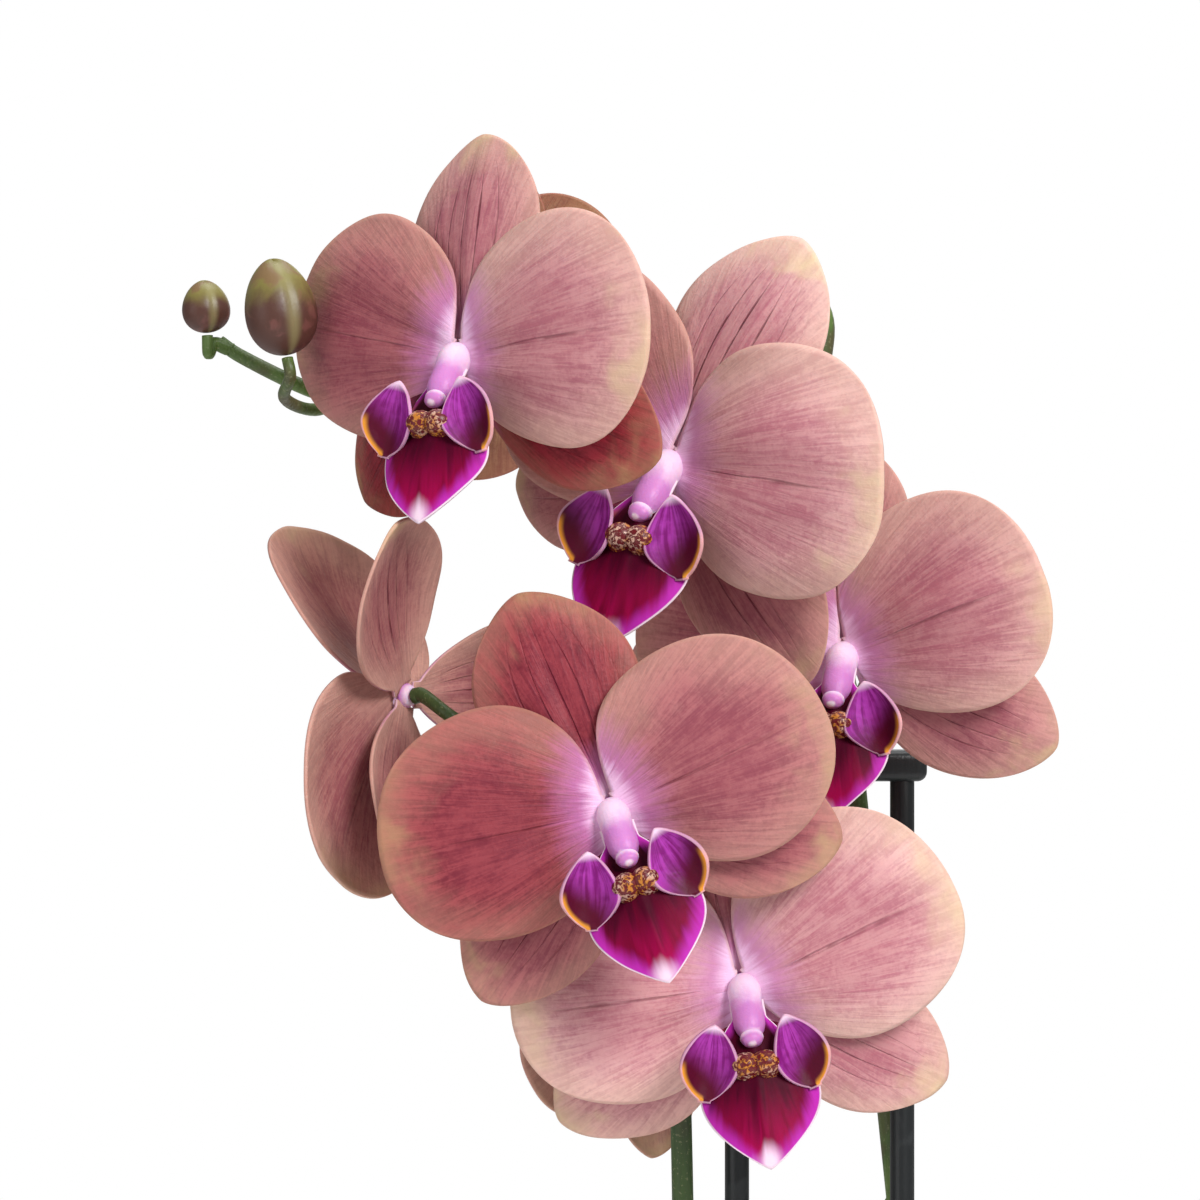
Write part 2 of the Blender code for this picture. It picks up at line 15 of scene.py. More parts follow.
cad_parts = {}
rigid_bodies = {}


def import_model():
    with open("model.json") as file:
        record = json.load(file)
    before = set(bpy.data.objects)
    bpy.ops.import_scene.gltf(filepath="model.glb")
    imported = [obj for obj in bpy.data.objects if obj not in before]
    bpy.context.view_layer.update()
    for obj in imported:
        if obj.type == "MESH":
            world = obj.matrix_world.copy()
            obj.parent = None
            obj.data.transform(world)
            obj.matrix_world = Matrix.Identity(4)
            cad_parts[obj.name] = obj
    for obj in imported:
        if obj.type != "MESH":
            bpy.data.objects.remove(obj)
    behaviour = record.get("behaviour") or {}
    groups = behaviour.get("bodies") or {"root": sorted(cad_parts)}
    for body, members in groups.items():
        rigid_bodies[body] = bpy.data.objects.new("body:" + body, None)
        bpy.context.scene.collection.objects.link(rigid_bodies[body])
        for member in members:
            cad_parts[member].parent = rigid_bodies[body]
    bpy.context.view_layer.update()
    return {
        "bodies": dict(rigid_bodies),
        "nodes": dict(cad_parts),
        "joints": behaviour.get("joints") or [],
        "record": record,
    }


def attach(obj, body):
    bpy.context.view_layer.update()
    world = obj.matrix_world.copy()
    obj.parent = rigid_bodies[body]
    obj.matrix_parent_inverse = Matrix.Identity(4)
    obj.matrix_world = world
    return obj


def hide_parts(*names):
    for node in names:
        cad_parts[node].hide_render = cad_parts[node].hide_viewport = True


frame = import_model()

# Pot and bark
POT_RIM_DIAMETER = 0.120
POT_BASE_DIAMETER = 0.088
POT_HEIGHT = 0.110
POT_WALL = 0.0020
RIM_HEIGHT = 0.010
RIM_LIP = 0.0025
HEADSPACE = 0.016
DRAIN_SLOTS = 6
DRAIN_SLOT_WIDTH = 0.0036
DRAIN_SLOT_LENGTH = 0.013
GAP = 0.0003

# Support frame
SUPPORT_HEIGHT = 0.465
STAKE_SPACING = 0.038
STAKE_DIAMETER = 0.0056
SUPPORT_SHIFT = 0.0025
CROSSBAR_HEIGHT = 0.0072
CROSSBAR_DEPTH = 0.0084
CROSSBAR_OVERHANG = 0.0055
CLIP_HEIGHT = 0.009
CLIP_WALL = 0.0014
CLIP_LEVELS = (0.30, 0.24)  # of the upper and the front spike
STAKE_TENON = 0.0045  # how far a stake goes up into the crossbar

# Plant
FLOWER_SPAN = 0.095
TEPAL_THICKNESS = 0.0007
SPIKE_DIAMETER = 0.0058
STALK_DIAMETER = 0.0030
NODE_SWELL, NODE_REACH = 0.22, 0.0022  # how much a stem swells at its nodes, and how far along it
CROWN_DIAMETER = 0.014
CROWN_HEIGHT = 0.036
CROWN_PLACE = (-0.002, -0.021)
LEAF_LENGTH = 0.185
LEAF_WIDTH = 0.060
LEAF_THICKNESS = 0.0020
LEAF_PITCH = 0.0052
ROOT_DIAMETER = 0.0046
CHIP_COUNT = 190

# Places and sizes in a flower, in flower spans and degrees
PETAL_START, PETAL_LIFT = 0.0126, 0.018
SEPAL_START, LATERAL_ANGLE = 0.021, 122
HUB_RADIUS, HUB_FRONT, HUB_BACK = 0.034, 0.008, 0.022
LOBE_FOOT, THROAT_FOOT = (0, -0.055, -0.03), (0, -0.135, -0.215)
SIDE_LOBE_FOOT, SIDE_LOBE_ROLL = (0.120, -0.148, -0.218), 16
COLUMN_LENGTH, COLUMN_LEAN, COLUMN_FOOT = 0.168, 140, (0, -0.015, 0.022)
CAP_SIZE, CAP_LEAN, CAP_PLACE = (0.029, 0.024, 0.032), 118, (0, -0.118, -0.094)
CALLUS_SIZE, CALLUS_LEAN, CALLUS_PLACE = (0.037, 0.032, 0.070), 58, (0.021, -0.122, -0.172)
STALK_REACH, STALK_DROP = 0.12, 0.05  # how far behind and below its flower a stalk bends
LIP_TURN, LIP_TURN_LIMIT = 0.28, 40  # the share of its flower's turn that a lip goes back

BARK_LEVEL = POT_HEIGHT - HEADSPACE
STAKE_X = {side: SUPPORT_SHIFT + side * STAKE_SPACING / 2 for side in (-1, 1)}
STEM_BESIDE_STAKE = {-1: Vector((-0.0110, -0.0040, 0)), 1: Vector((0.0045, 0.0085, 0))}
STEM_ROUND_STAKE = {-1: Vector((-0.0040, -0.0100, 0)), 1: Vector((-0.0100, 0.0115, 0))}


class Flower(NamedTuple):
    """Where a flower is and how it is turned, in degrees as seen from in front of it."""

    name: str
    place: tuple  # in flower spans
    left: float
    sepal_roll: float
    petal_roll: float
    petal_angle: float  # from the petals' middle up to each petal
    lip_roll: float
    size: float
    leans: tuple  # how far the left petal, the right petal and the sepals lean forward


UPPER_FLOWERS = (
    Flower("upper_left_flower", (-0.81, -0.55, 0.945), 38, 5, -3, 82, 2, 1.04, (-4, -4, -7)),
    Flower("centre_right_flower", (-0.335, -0.46, 0.708), 38, -28, -22, 77, -8, 1.14, (-3, -3, -6)),
    Flower("right_flower", (0.065, -0.33, 0.275), 25, 8, 6, 76, 0, 1.03, (0, 0, -5)),
    Flower("back_facing_flower", (-0.77, 0.36, 1.10), 170, 123, 123, 78, 123, 0.80, (0, 0, -5)),
)
FRONT_FLOWERS = (
    Flower("front_flower", (-0.48, -0.84, -0.05), 0, 24, 19, 83, 19, 1.0, (4, 4, -2)),
    Flower("lower_flower", (-0.19, -0.64, -0.45), 0, 6, 16, 80, 8, 1.02, (3, 3, -3)),
    Flower("side_flower", (-0.95, -0.38, 0.18), 126, -35, -69, 76, -5, 1.0, (38, -10, -16)),
    Flower("hidden_flower", (-0.46, 0.16, 0.0), 80, -10, -10, 76, 0, 0.6, (4, 4, -3)),
    Flower("low_back_flower", (-0.36, 0.24, -0.58), 150, -49, -49, 76, 0, 0.8, (0, 0, -5)),
)
# How pale the left petal, right petal, upper sepal and lower sepals are: 0 is dusky, and 1 is pale. The
# values are partly each flower's own tone and partly painted light and shade. Each right petal is painted
# paler than its left one, as if lit from the right. Tepals that lie in shadow, such as the upper left
# flower's lower sepals and all of the back-facing flower, are painted dusky.
PALENESS_WITH_PAINTED_SHADE = {
    "upper_left_flower": (0.25, 0.72, 0.55, -0.12),
    "centre_right_flower": (0.35, 0.88, 1.0, 0.35),
    "right_flower": (0.45, 0.72, 0.4, 0.42),
    "back_facing_flower": (-0.15,) * 4,
    "front_flower": (0.0, 0.28, -0.04, 0.20),
    "lower_flower": (0.92, 0.93, 0.50, 0.75),
    "side_flower": (0.35, 0.45, 0.45, 0.45),
    "hidden_flower": (0.3,) * 4,
    "low_back_flower": (0.3,) * 4,
}
# The arching ends of the spikes, from the crossbar's level to their tips, in flower spans.
UPPER_ARCH = (
    (0.12, 0.10, -0.06), (0.10, 0.10, 0.15), (0.06, 0.08, 0.50), (0.02, 0.06, 0.85),
    (0.04, 0.06, 1.08), (-0.03, 0.10, 1.16), (-0.14, 0.14, 1.12), (-0.32, 0.13, 1.03),
    (-0.60, 0.02, 0.98), (-0.90, -0.07, 0.93), (-1.05, -0.10, 0.885), (-1.15, -0.11, 0.89),
    (-1.23, -0.13, 0.915), (-1.36, -0.13, 0.98), (-1.41, -0.13, 1.015),
)
FRONT_ARCH = (
    (-0.31, -0.05, -0.86), (-0.33, -0.08, -0.55), (-0.36, -0.16, -0.25), (-0.40, -0.26, -0.02),
    (-0.47, -0.32, 0.07), (-0.56, -0.34, 0.08), (-0.64, -0.34, 0.06),
)
LARGE_BUD_STALK = ((-1.10, -0.11, 0.885), (-1.18, -0.17, 0.85), (-1.24, -0.27, 0.87))
SMALL_BUD_STALK = ((-1.38, -0.13, 0.995), (-1.42, -0.14, 1.01))
# Each bud: name, centre, width and length, lean to the left, and the route of its stalk before the bud.
BUDS = (
    ("large_bud", (-1.243, -0.37, 1.074), 0.158, 0.225, 9, LARGE_BUD_STALK),
    ("small_bud", (-1.44, -0.16, 1.095), 0.108, 0.125, 4, SMALL_BUD_STALK),
)
# Leaves from the lowest up: heading in degrees from +X, rise above level, droop along the leaf, and
# share of full size.
LEAVES = (
    (184, 30, 92, 0.96),
    (-8, 30, 95, 1.0),
    (170, 38, 92, 1.0),
    (12, 40, 95, 0.94),
    (190, 50, 88, 0.86),
    (-4, 52, 84, 0.74),
)
# Aerial roots: routes from the crown over the bark, as (share of the rim's radius, degrees from +X,
# metres above the rim).
ROOTS = (
    ((0.56, -96, -0.008), (0.68, -88, 0.006), (0.92, -78, 0.010), (1.14, -72, 0.002), (1.22, -68, -0.030)),
    (
        *((0.62, -112, -0.009), (0.78, -112, 0.005), (0.98, -115, 0.009)),
        *((1.15, -119, -0.004), (1.20, -122, -0.024)),
    ),
    ((0.50, -66, -0.010), (0.62, -50, -0.005), (0.74, -38, -0.010)),
)


# Materials


class Socket:
    """One output of a material's node. Arithmetic on it adds Math nodes."""

    def __init__(self, finish, output):
        self.finish = finish
        self.output = output

    def maths(self, operation, *values):
        return self.finish.node("ShaderNodeMath", {"operation": operation}, dict(enumerate(values)))

    def __add__(self, other):
        return self.maths("ADD", self, other)

    def __sub__(self, other):
        return self.maths("SUBTRACT", self, other)

    def __rsub__(self, other):
        return self.maths("SUBTRACT", other, self)

    def __mul__(self, other):
        return self.maths("MULTIPLY", self, other)

    def __truediv__(self, other):
        return self.maths("DIVIDE", self, other)

    def __abs__(self):
        return self.maths("ABSOLUTE", self)

    __radd__ = __add__
    __rmul__ = __mul__


class Finish:
    """A material that is put together from nodes, one colour over another."""

    def __init__(self, name, settings):
        self.material = bpy.data.materials.new(name)
        self.material.use_nodes = True
        self.tree = self.material.node_tree
        self.shader = self.tree.nodes["Principled BSDF"]
        self.where = self.node("ShaderNodeTexCoord", {}, {}, "Object")
        self.fill(self.shader, settings)

    def fill(self, node, sockets):
        for key, value in sockets.items():
            if isinstance(value, Socket):
                self.tree.links.new(value.output, node.inputs[key])
            elif isinstance(value, tuple) and node.inputs[key].type == "RGBA":
                node.inputs[key].default_value = (*value[:3], 1)
            else:
                node.inputs[key].default_value = value

    def node(self, kind, settings, sockets, output=0):
        """Adds a node, sets it up, then gives its sockets their values or links."""
        made = self.tree.nodes.new(kind)
        for key, value in settings.items():
            setattr(made, key, value)
        self.fill(made, sockets)
        return Socket(self, made.outputs[output])

    def split(self, vector):
        made = self.tree.nodes.new("ShaderNodeSeparateXYZ")
        self.fill(made, {0: vector})
        return [Socket(self, output) for output in made.outputs]

    def maps(self):
        """The side, the share of the length, the nearness to the rim and the distance across."""
        blade, sheet = (
            self.split(self.node("ShaderNodeUVMap", {"uv_map": name}, {})) for name in ("blade", "sheet")
        )
        return *blade[:2], *sheet[:2]

    def noise(self, scale, detail=3, distortion=0, where=None):
        """Noise that lies evenly over the piece, unless it is told where to look."""
        sockets = {"Scale": scale, "Detail": detail, "Distortion": distortion}
        return self.node("ShaderNodeTexNoise", {}, {"Vector": where or self.where, **sockets})

    def streaks(self, x, y, z, detail=3, distortion=0):
        """Noise that is stretched by the scale of each of these three values."""
        where = self.node("ShaderNodeCombineXYZ", {}, {0: x, 1: y, 2: z})
        return self.noise(1, detail, distortion, where)

    def step(self, value, start, end):
        """0 at start and 1 at end, with a smooth change between them."""
        sockets = {"Value": value, "From Min": start, "From Max": end}
        return self.node("ShaderNodeMapRange", {"interpolation_type": "SMOOTHSTEP"}, sockets)

    def mix(self, share, low, high):
        return self.node("ShaderNodeMix", {"data_type": "RGBA"}, {0: share, 6: low, 7: high}, 2)

    def start(self, share, low, high):
        """The first colour: low where the share is 0, and high where it is 1."""
        self.colour = self.mix(share, low, high)

    def tint(self, share, over):
        """Puts this share of another colour over the colour so far."""
        self.colour = self.mix(share, self.colour, over)

    def surface(self, roughness, height, depth):
        """Gives the shader its colour, roughness and a relief of this depth, in metres."""
        relief = self.node("ShaderNodeBump", {}, {"Height": height, "Distance": depth, "Strength": 1})
        self.fill(self.shader, {"Base Color": self.colour, "Roughness": roughness, "Normal": relief})
        return self.material


def between(low, high, share):
    return tuple(a + (b - a) * share for a, b in zip(low, high))


def tissue(name, gloss, entering, reach):
    """Flower tissue: its gloss, the share of light that enters it, and how far that goes, in metres."""
    settings = {"Specular IOR Level": gloss, "Subsurface Weight": entering, "Subsurface Scale": reach}
    return Finish(name, {"IOR": 1.4, **settings})


# Colours of the flowers. Pairs go from the duskiest to the palest flower.
TEPAL_LIGHT = (0.37, 0.070, 0.080), (0.82, 0.48, 0.47)
TEPAL_DARK = (0.16, 0.018, 0.032), (0.55, 0.21, 0.26)
TEPAL_SHELL = (0.50, 0.22, 0.17), (0.84, 0.60, 0.47)
TEPAL_CREAM = (0.46, 0.27, 0.14), (0.82, 0.66, 0.40)
TEPAL_EDGE = (0.50, 0.24, 0.17), (0.80, 0.52, 0.42)
OLIVE_LIGHT, OLIVE_DARK = (0.42, 0.27, 0.14), (0.19, 0.09, 0.05)
FLUSH_RED = (0.34, 0.05, 0.08)
VEIN_RED = (0.13, 0.010, 0.025)
LILAC, PALE_LILAC = (0.58, 0.18, 0.50), (0.92, 0.60, 0.84)
# The near black is painted shade for the lip's hollow under the column.
CRIMSON, DEEP_CRIMSON, PAINTED_SHADE_BLACK = (0.34, 0.001, 0.062), (0.17, 0.0, 0.026), (0.038, 0.0, 0.008)
LIP_VIOLET, LIP_ORANGE, LIP_WHITE = (0.48, 0.025, 0.40), (0.72, 0.22, 0.02), (0.88, 0.66, 0.80)


def tepal_finish(name, paleness, seed, sepal, back):
    """The skin of a petal or a sepal: flushed, mottled, streaked lengthwise, paler at the rim and tip."""
    look = tissue(name, 0.25, 0.12, 0.0012)
    look.shader.inputs["Subsurface Radius"].default_value = (1.0, 0.4, 0.35)
    side, along, rim, across = look.maps()
    # Streaks fan out from the foot, and clouds and grain lie evenly over the skin.
    fan = across / (along + (0.30 if sepal else 0.20))
    fine = look.streaks(fan * 62, along * 5, seed, 2, 0.8)
    broad = look.streaks(fan * 13, along * 2.6, seed + 9, 3, 1.0)
    grain = look.noise(1500, 2, 0.4)
    mottle = look.noise(480, 4, 0.8)
    cloud = look.noise(110, 3, 0.6)
    blend = fine * 0.28 + broad * 0.24 + grain * 0.12 + mottle * 0.16 + cloud * 0.20
    light, dark = between(*TEPAL_LIGHT, paleness), between(*TEPAL_DARK, paleness)
    if back:
        olive = 0.7 - 0.9 * paleness
        light, dark = between(light, OLIVE_LIGHT, olive), between(dark, OLIVE_DARK, olive)
    look.start(look.step(blend, 0.41, 0.60), light, dark)
    flush = look.step(rim + (cloud - 0.5) * 0.4, 0.90, 0.25)
    look.tint(flush * 0.50, between(dark, FLUSH_RED, 0.4))
    pale = look.step(rim + (cloud - 0.5) * 0.5 + (broad - 0.5) * 0.3, 0.50, 1.02)
    look.tint(pale * 0.50, between(*TEPAL_SHELL, paleness))
    # Dark veins, broken along their length.
    lines = (side * 4.2 if sepal else fan * 5.0) + 100.5
    line = abs(look.node("ShaderNodeMath", {"operation": "FRACT"}, {0: lines}) - 0.5)
    wander = look.streaks(side * 3, along * 3, seed + 21, 2, 0.3)
    vein = look.step(line + (wander - 0.5) * 0.16, 0.075, 0.0)
    broken = look.step(look.streaks(fan * 9, along * 6, seed + 5, 2), 0.42, 0.58)
    inner = look.step(abs(side), 0.90 if sepal else 0.30, 0.05)
    reach = look.step(along, 0.95, 0.55) * look.step(along, 0.10, 0.30)
    strength = 0.8 if sepal else 0.45
    look.tint(vein * broken * inner * reach * strength, VEIN_RED)
    # Cream towards the tip and the outer rim.
    outer = look.step(along + side * 0.06 + (cloud - 0.5) * 0.7, 0.82, 1.12)
    look.tint(outer * (0.75 if sepal else 0.55), between(*TEPAL_CREAM, paleness))
    if not back:
        # Lilac, then near white, round the column.
        near = look.step(along + (fine - 0.5) * 0.12 + (broad - 0.5) * 0.15, 0.30, 0.05)
        look.tint(near * 0.75, LILAC)
        look.tint(look.step(along + (broad - 0.5) * 0.10, 0.125, 0.03), PALE_LILAC)
    edge = look.step(rim, 0.965, 0.998)
    look.tint(edge * 0.45, between(*TEPAL_EDGE, paleness))
    height = fine * 0.35 + broad * 0.4 + grain * 0.25 - vein * inner * reach * 0.8
    return look.surface(grain * 0.12 + 0.42, height, 0.00035)


def lobe_finish(name, seed):
    """The lip's middle lobe: near black at its foot as painted shade in the hollow under the column,
    crimson, then violet, with a thin white rim.
    """
    look = tissue(name, 0.1, 0.04, 0.001)
    side, along, rim, across = look.maps()
    fan = across / (along + 0.2)
    streak = look.streaks(fan * 15, along * 1.6, seed, 2, 0.3)
    grain = look.noise(900, 2)
    look.start(look.step(streak, 0.36, 0.66), CRIMSON, DEEP_CRIMSON)
    # Painted shade: the lobe's foot, deep in the hollow under the column, is tinted near black.
    throat = look.step(along + abs(side) * 0.06 + (streak - 0.5) * 0.60, 0.86, 0.50)
    look.tint(throat * 0.92, PAINTED_SHADE_BLACK)
    ring = look.step(rim + (streak - 0.5) * 0.30, 0.70, 0.98)
    look.tint(ring, LIP_VIOLET)
    shoulder = look.step(along, 0.52, 0.38) * look.step(along, 0.20, 0.34) * look.step(rim, 0.72, 0.90)
    look.tint(shoulder, LIP_ORANGE)
    tip = look.step(along - abs(side) * 0.10 + (streak - 0.5) * 0.12, 0.82, 0.95)
    look.tint(tip, LIP_WHITE)
    look.tint(look.step(rim, 0.962, 0.988), (0.88, 0.70, 0.80))
    return look.surface(grain * 0.1 + 0.48, streak * 0.8 + grain * 0.2, 0.0002)


def side_lobe_finish(name, seed):
    """The lip's raised side lobes: violet, painted near black as shade at the foot, orange along the outer
    rim, white at the point.
    """
    look = tissue(name, 0.25, 0.08, 0.001)
    side, along, rim, _ = look.maps()
    grain = look.noise(500, 3, 0.4)
    streak = look.streaks(side * 7, along * 1.5, seed, 2, 0.4)
    blend = look.step(streak * 0.7 + grain * 0.3, 0.38, 0.64)
    look.start(blend, (0.40, 0.04, 0.38), (0.20, 0.006, 0.16))
    # Painted shade: near black towards the lobe's foot and inner side, where it turns into the lip's
    # hollow.
    painted_hollow_shade = look.step(along - side * 0.25, 0.72, 0.22)
    look.tint(painted_hollow_shade, (0.085, 0.0, 0.016))
    fire = look.step(rim, 0.78, 0.95) * look.step(along, 0.55, 0.38) * look.step(side, 0.05, 0.35)
    look.tint(fire, (0.76, 0.30, 0.03))
    look.tint(look.step(along, 0.86, 0.99), (0.88, 0.66, 0.82))
    look.tint(look.step(rim, 0.95, 0.985) * 0.65, (0.78, 0.44, 0.60))
    return look.surface(grain * 0.1 + 0.45, grain, 0.00015)


def throat_shade_finish():
    """The inside of the lip behind the callus, painted near black as the shade in that hollow."""
    look = Finish("throat", {"IOR": 1.4, "Roughness": 0.6, "Specular IOR Level": 0.2})
    cloud = look.noise(420, 3, 0.4)
    colour = look.mix(look.step(cloud, 0.4, 0.65), (0.075, 0.004, 0.018), (0.16, 0.012, 0.035))
    look.fill(look.shader, {"Base Color": colour})
    return look.material


def callus_finish():
    """Orange flesh with dark red spots, which are slightly sunk."""
    look = Finish("callus", {"IOR": 1.45})
    spots = look.step(look.noise(1300, 2, 0.6), 0.43, 0.53)
    blush = look.step(look.noise(260, 2), 0.42, 0.62)
    look.start(blush, (0.52, 0.18, 0.02), (0.60, 0.36, 0.28))
    look.tint(spots, (0.13, 0.006, 0.01))
    return look.surface(0.35, spots, -0.0002)


def column_finish():
    """Waxy skin: near white at the foot, lilac further on, and near white again at the end."""
    look = tissue("column", 0.5, 0.25, 0.002)
    _, along, _, _ = look.maps()
    cloud = look.noise(300, 3, 0.5)
    grain = look.noise(1800, 2)
    look.start(look.step(along + cloud * 0.3, 0.40, 0.80), (0.86, 0.62, 0.80), (0.60, 0.22, 0.56))
    look.tint(look.step(along + (cloud - 0.5) * 0.2, 0.90, 0.98), (0.92, 0.74, 0.86))
    return look.surface(grain * 0.1 + 0.34, grain, 0.0001)


def stem_finish(name, young, old, flush):
    """Living stem skin: green, flushed brown-purple in patches, with fine lengthwise grain."""
    look = Finish(name, {"IOR": 1.45})
    x, y, z = look.split(look.where)
    cloud = look.noise(45, 3, 0.5)
    grain = look.streaks(x * 900, y * 900, z * 90, 2)
    specks = look.step(look.noise(1300, 2), 0.60, 0.68)
    look.start(look.step(cloud + grain * 0.3, 0.45, 0.85), young, old)
    look.tint(look.step(cloud, 0.50, 0.64) * 0.55, flush)
    look.tint(specks * 0.35, (0.30, 0.30, 0.16))
    return look.surface(grain * 0.15 + 0.34, grain, 0.00025)


def bud_finish():
    """Brown-red skin, green towards the tip, with pale seams."""
    look = Finish("bud_skin", {"IOR": 1.45})
    _, height, rim, _ = look.maps()
    cloud = look.noise(170, 3, 0.4)
    grain = look.noise(1500, 2)
    greening = look.step(height + (cloud - 0.5) * 0.5, 0.42, 0.80)
    look.start(greening, (0.085, 0.032, 0.022), (0.21, 0.18, 0.045))
    look.tint(look.step(cloud, 0.54, 0.66) * 0.5, (0.20, 0.07, 0.06))
    look.tint(look.step(rim, 0.35, 0.0) * 0.55, (0.30, 0.27, 0.11))
    return look.surface(grain * 0.10 + 0.38, grain * 0.3 + cloud, 0.0001)


def leaf_finish(name, light, dark):
    """A leathery leaf with a paler midrib and fine parallel veins."""
    look = Finish(name, {"IOR": 1.45, "Coat Roughness": 0.25, "Coat Weight": 0.18})
    side, along, rim, _ = look.maps()
    veins = look.streaks(side * 34, along * 1.4, 3, 2, 0.2)
    cloud = look.noise(38, 4, 0.4)
    pores = look.noise(900, 2)
    look.start(look.step(veins * 0.5 + cloud * 0.5, 0.36, 0.64), light, dark)
    midrib = look.step(abs(side), 0.07, 0.0)
    look.tint(midrib * 0.6, between(light, (0.16, 0.26, 0.07), 0.6))
    look.tint(look.step(rim, 0.965, 1.0) * 0.55, (0.13, 0.10, 0.06))
    look.tint(look.step(along, 0.10, 0.0) * 0.6, (0.17, 0.24, 0.07))
    height = veins * 0.5 + pores * 0.2 + cloud * 0.6
    return look.surface(pores * 0.14 + 0.27 + cloud * 0.08, height, 0.0006)


def root_finish():
    """The silvery skin of an aerial root, green in patches."""
    look = Finish("root_skin", {"IOR": 1.4})
    cloud = look.noise(90, 4, 0.5)
    grain = look.noise(1200, 3)
    look.start(look.step(cloud, 0.42, 0.62), (0.60, 0.62, 0.53), (0.33, 0.38, 0.24))
    look.tint(look.step(grain, 0.56, 0.70) * 0.6, (0.30, 0.25, 0.17))
    return look.surface(grain * 0.15 + 0.72, grain + cloud, 0.0006)


def bark_finish():
    """Brown bark chips, with the bark's layers as thin bands."""
    look = Finish("bark_chips", {"IOR": 1.4})
    x, y, z = look.split(look.where)
    cloud = look.noise(75, 4, 0.8)
    rings = look.streaks(x * 420, y * 420, z * 1500, 3, 0.7)
    look.start(look.step(cloud, 0.38, 0.62), (0.21, 0.095, 0.045), (0.075, 0.034, 0.018))
    look.tint(look.step(rings, 0.52, 0.68) * 0.6, (0.33, 0.19, 0.105))
    return look.surface(rings * 0.2 + 0.72, rings + cloud, 0.0012)


def pot_finish():
    """Off-white glaze with a few brown specks, and bare clay under the foot."""
    look = Finish("pot_glaze", {"IOR": 1.5, "Coat Roughness": 0.08, "Coat Weight": 0.3})
    x, y, z = look.split(look.where)
    cloud = look.noise(24, 4, 0.3)
    specks = look.step(look.noise(700, 2), 0.69, 0.75)
    throwing = look.streaks(x * 6, y * 6, z * 330, 2, 0.2)
    look.start(look.step(cloud, 0.35, 0.70), (0.74, 0.72, 0.67), (0.66, 0.635, 0.575))
    look.tint(specks * 0.45, (0.30, 0.23, 0.16))
    bare = look.step(z, 0.0022, 0.0012)
    look.tint(bare, (0.52, 0.41, 0.31))
    roughness = bare * 0.45 + cloud * 0.08 + 0.16
    return look.surface(roughness, throwing * 0.5 + cloud * 0.5, 0.0006)


def support_finish():
    """Black moulded plastic, drawn lengthwise and slightly worn."""
    look = Finish("support_plastic", {"IOR": 1.46})
    grain = look.noise(2400, 2)
    wear = look.step(look.noise(120, 4, 0.7), 0.56, 0.72)
    x, y, z = look.split(look.where)
    drawn = look.streaks(x * 1500, y * 1500, z * 25, 2)
    look.start(wear * 0.5, (0.010, 0.012, 0.013), (0.030, 0.034, 0.036))
    roughness = grain * 0.12 + wear * 0.12 + 0.30
    return look.surface(roughness, grain * 0.4 + drawn * 0.6, 0.00012)


def floor_finish():
    look = Finish("pale_floor", {"Roughness": 0.7})
    tint = look.noise(3, 2)
    look.fill(look.shader, {"Base Color": look.mix(tint, (0.86, 0.86, 0.86), (0.89, 0.89, 0.89))})
    return look.material


THROAT_PAINTED_SHADE = throat_shade_finish()
CALLUS = callus_finish()
COLUMN = column_finish()
UPPER_STEM = stem_finish("upper_spike_skin", (0.12, 0.20, 0.040), (0.055, 0.10, 0.025), (0.10, 0.05, 0.03))
# Painted shade: the front spike's skin is the upper spike's at about half the brightness, for a stem that
# stands in shade under the flowers.
FRONT_STEM_SHADED = stem_finish("front_spike_skin", (0.06, 0.11, 0.028), (0.03, 0.055, 0.018), (0.06, 0.03, 0.022))
BUD_SKIN = bud_finish()
LEAF_TOP = leaf_finish("leaf_top", (0.050, 0.125, 0.022), (0.022, 0.068, 0.012))
LEAF_UNDER = leaf_finish("leaf_under", (0.11, 0.19, 0.055), (0.07, 0.12, 0.035))
ROOT_SKIN = root_finish()
BARK_CHIPS = bark_finish()
POT_GLAZE = pot_finish()
SUPPORT_PLASTIC = support_finish()


# Shapes


def mesh_from(bm, name):
    mesh = bpy.data.meshes.new(name)
    bm.to_mesh(mesh)
    bm.free()
    return mesh


def add_object(name, data):
    obj = bpy.data.objects.new(name, data)
    bpy.context.scene.collection.objects.link(obj)
    return obj


def piece(name, bm, slot, node, *materials):
    """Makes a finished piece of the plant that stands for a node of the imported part."""
    name = f"{name}_surface"
    mesh = mesh_from(bm, name)
    for material in materials:
        mesh.materials.append(material)
    mesh.shade_smooth()
    obj = add_object(name, mesh)
    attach(obj, "root")
    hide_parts(node)
    return obj


def rolled(degrees):
    """A turn about the flower's own facing direction, anticlockwise as seen from in front."""
    return Matrix.Rotation(math.radians(-degrees), 4, "Y")


def leaned(degrees):
    """A turn that tips +Z forward, to -Y."""
    return Matrix.Rotation(math.radians(degrees), 4, "X")


def shifted(place, span):
    """A move to a place that is given in flower spans."""
    return Matrix.Translation([distance * span for distance in place])


def outline(t, widest, roundness, claw):
    """A blade's half width, from 0 to 1, at a share t of its length."""
    share = math.sin(math.pi * t ** (math.log(0.5) / math.log(widest))) ** roundness
    return max(share, claw) if t < widest else share


class Blade(NamedTuple):
    """The shape of a petal, sepal, lobe, bract or leaf. Lengths are in metres, angles in degrees."""

    length: float
    width: float
    lean: float
    bend: float
    fold: float
    shape: tuple = (0.57, 0.52, 0.12)  # where it is widest, its roundness and its claw
    shoulder: float = 0  # how far its widest part reaches back past its foot, as a share of the length
    ruffle: float = 0.012  # how far its edge waves, as a share of the length
    groove: float = 0.006  # how deep its midrib lies, as a share of the length
    grid: int = 36
    dome: float = 0  # how far its middle bulges forward, as a share of the length
    skew: float = 0  # how much wider its +X half is

    def sized(self, span, **changes):
        """The same blade at a flower's size, with these changes."""
        return self._replace(length=self.length * span, width=self.width * span, **changes)


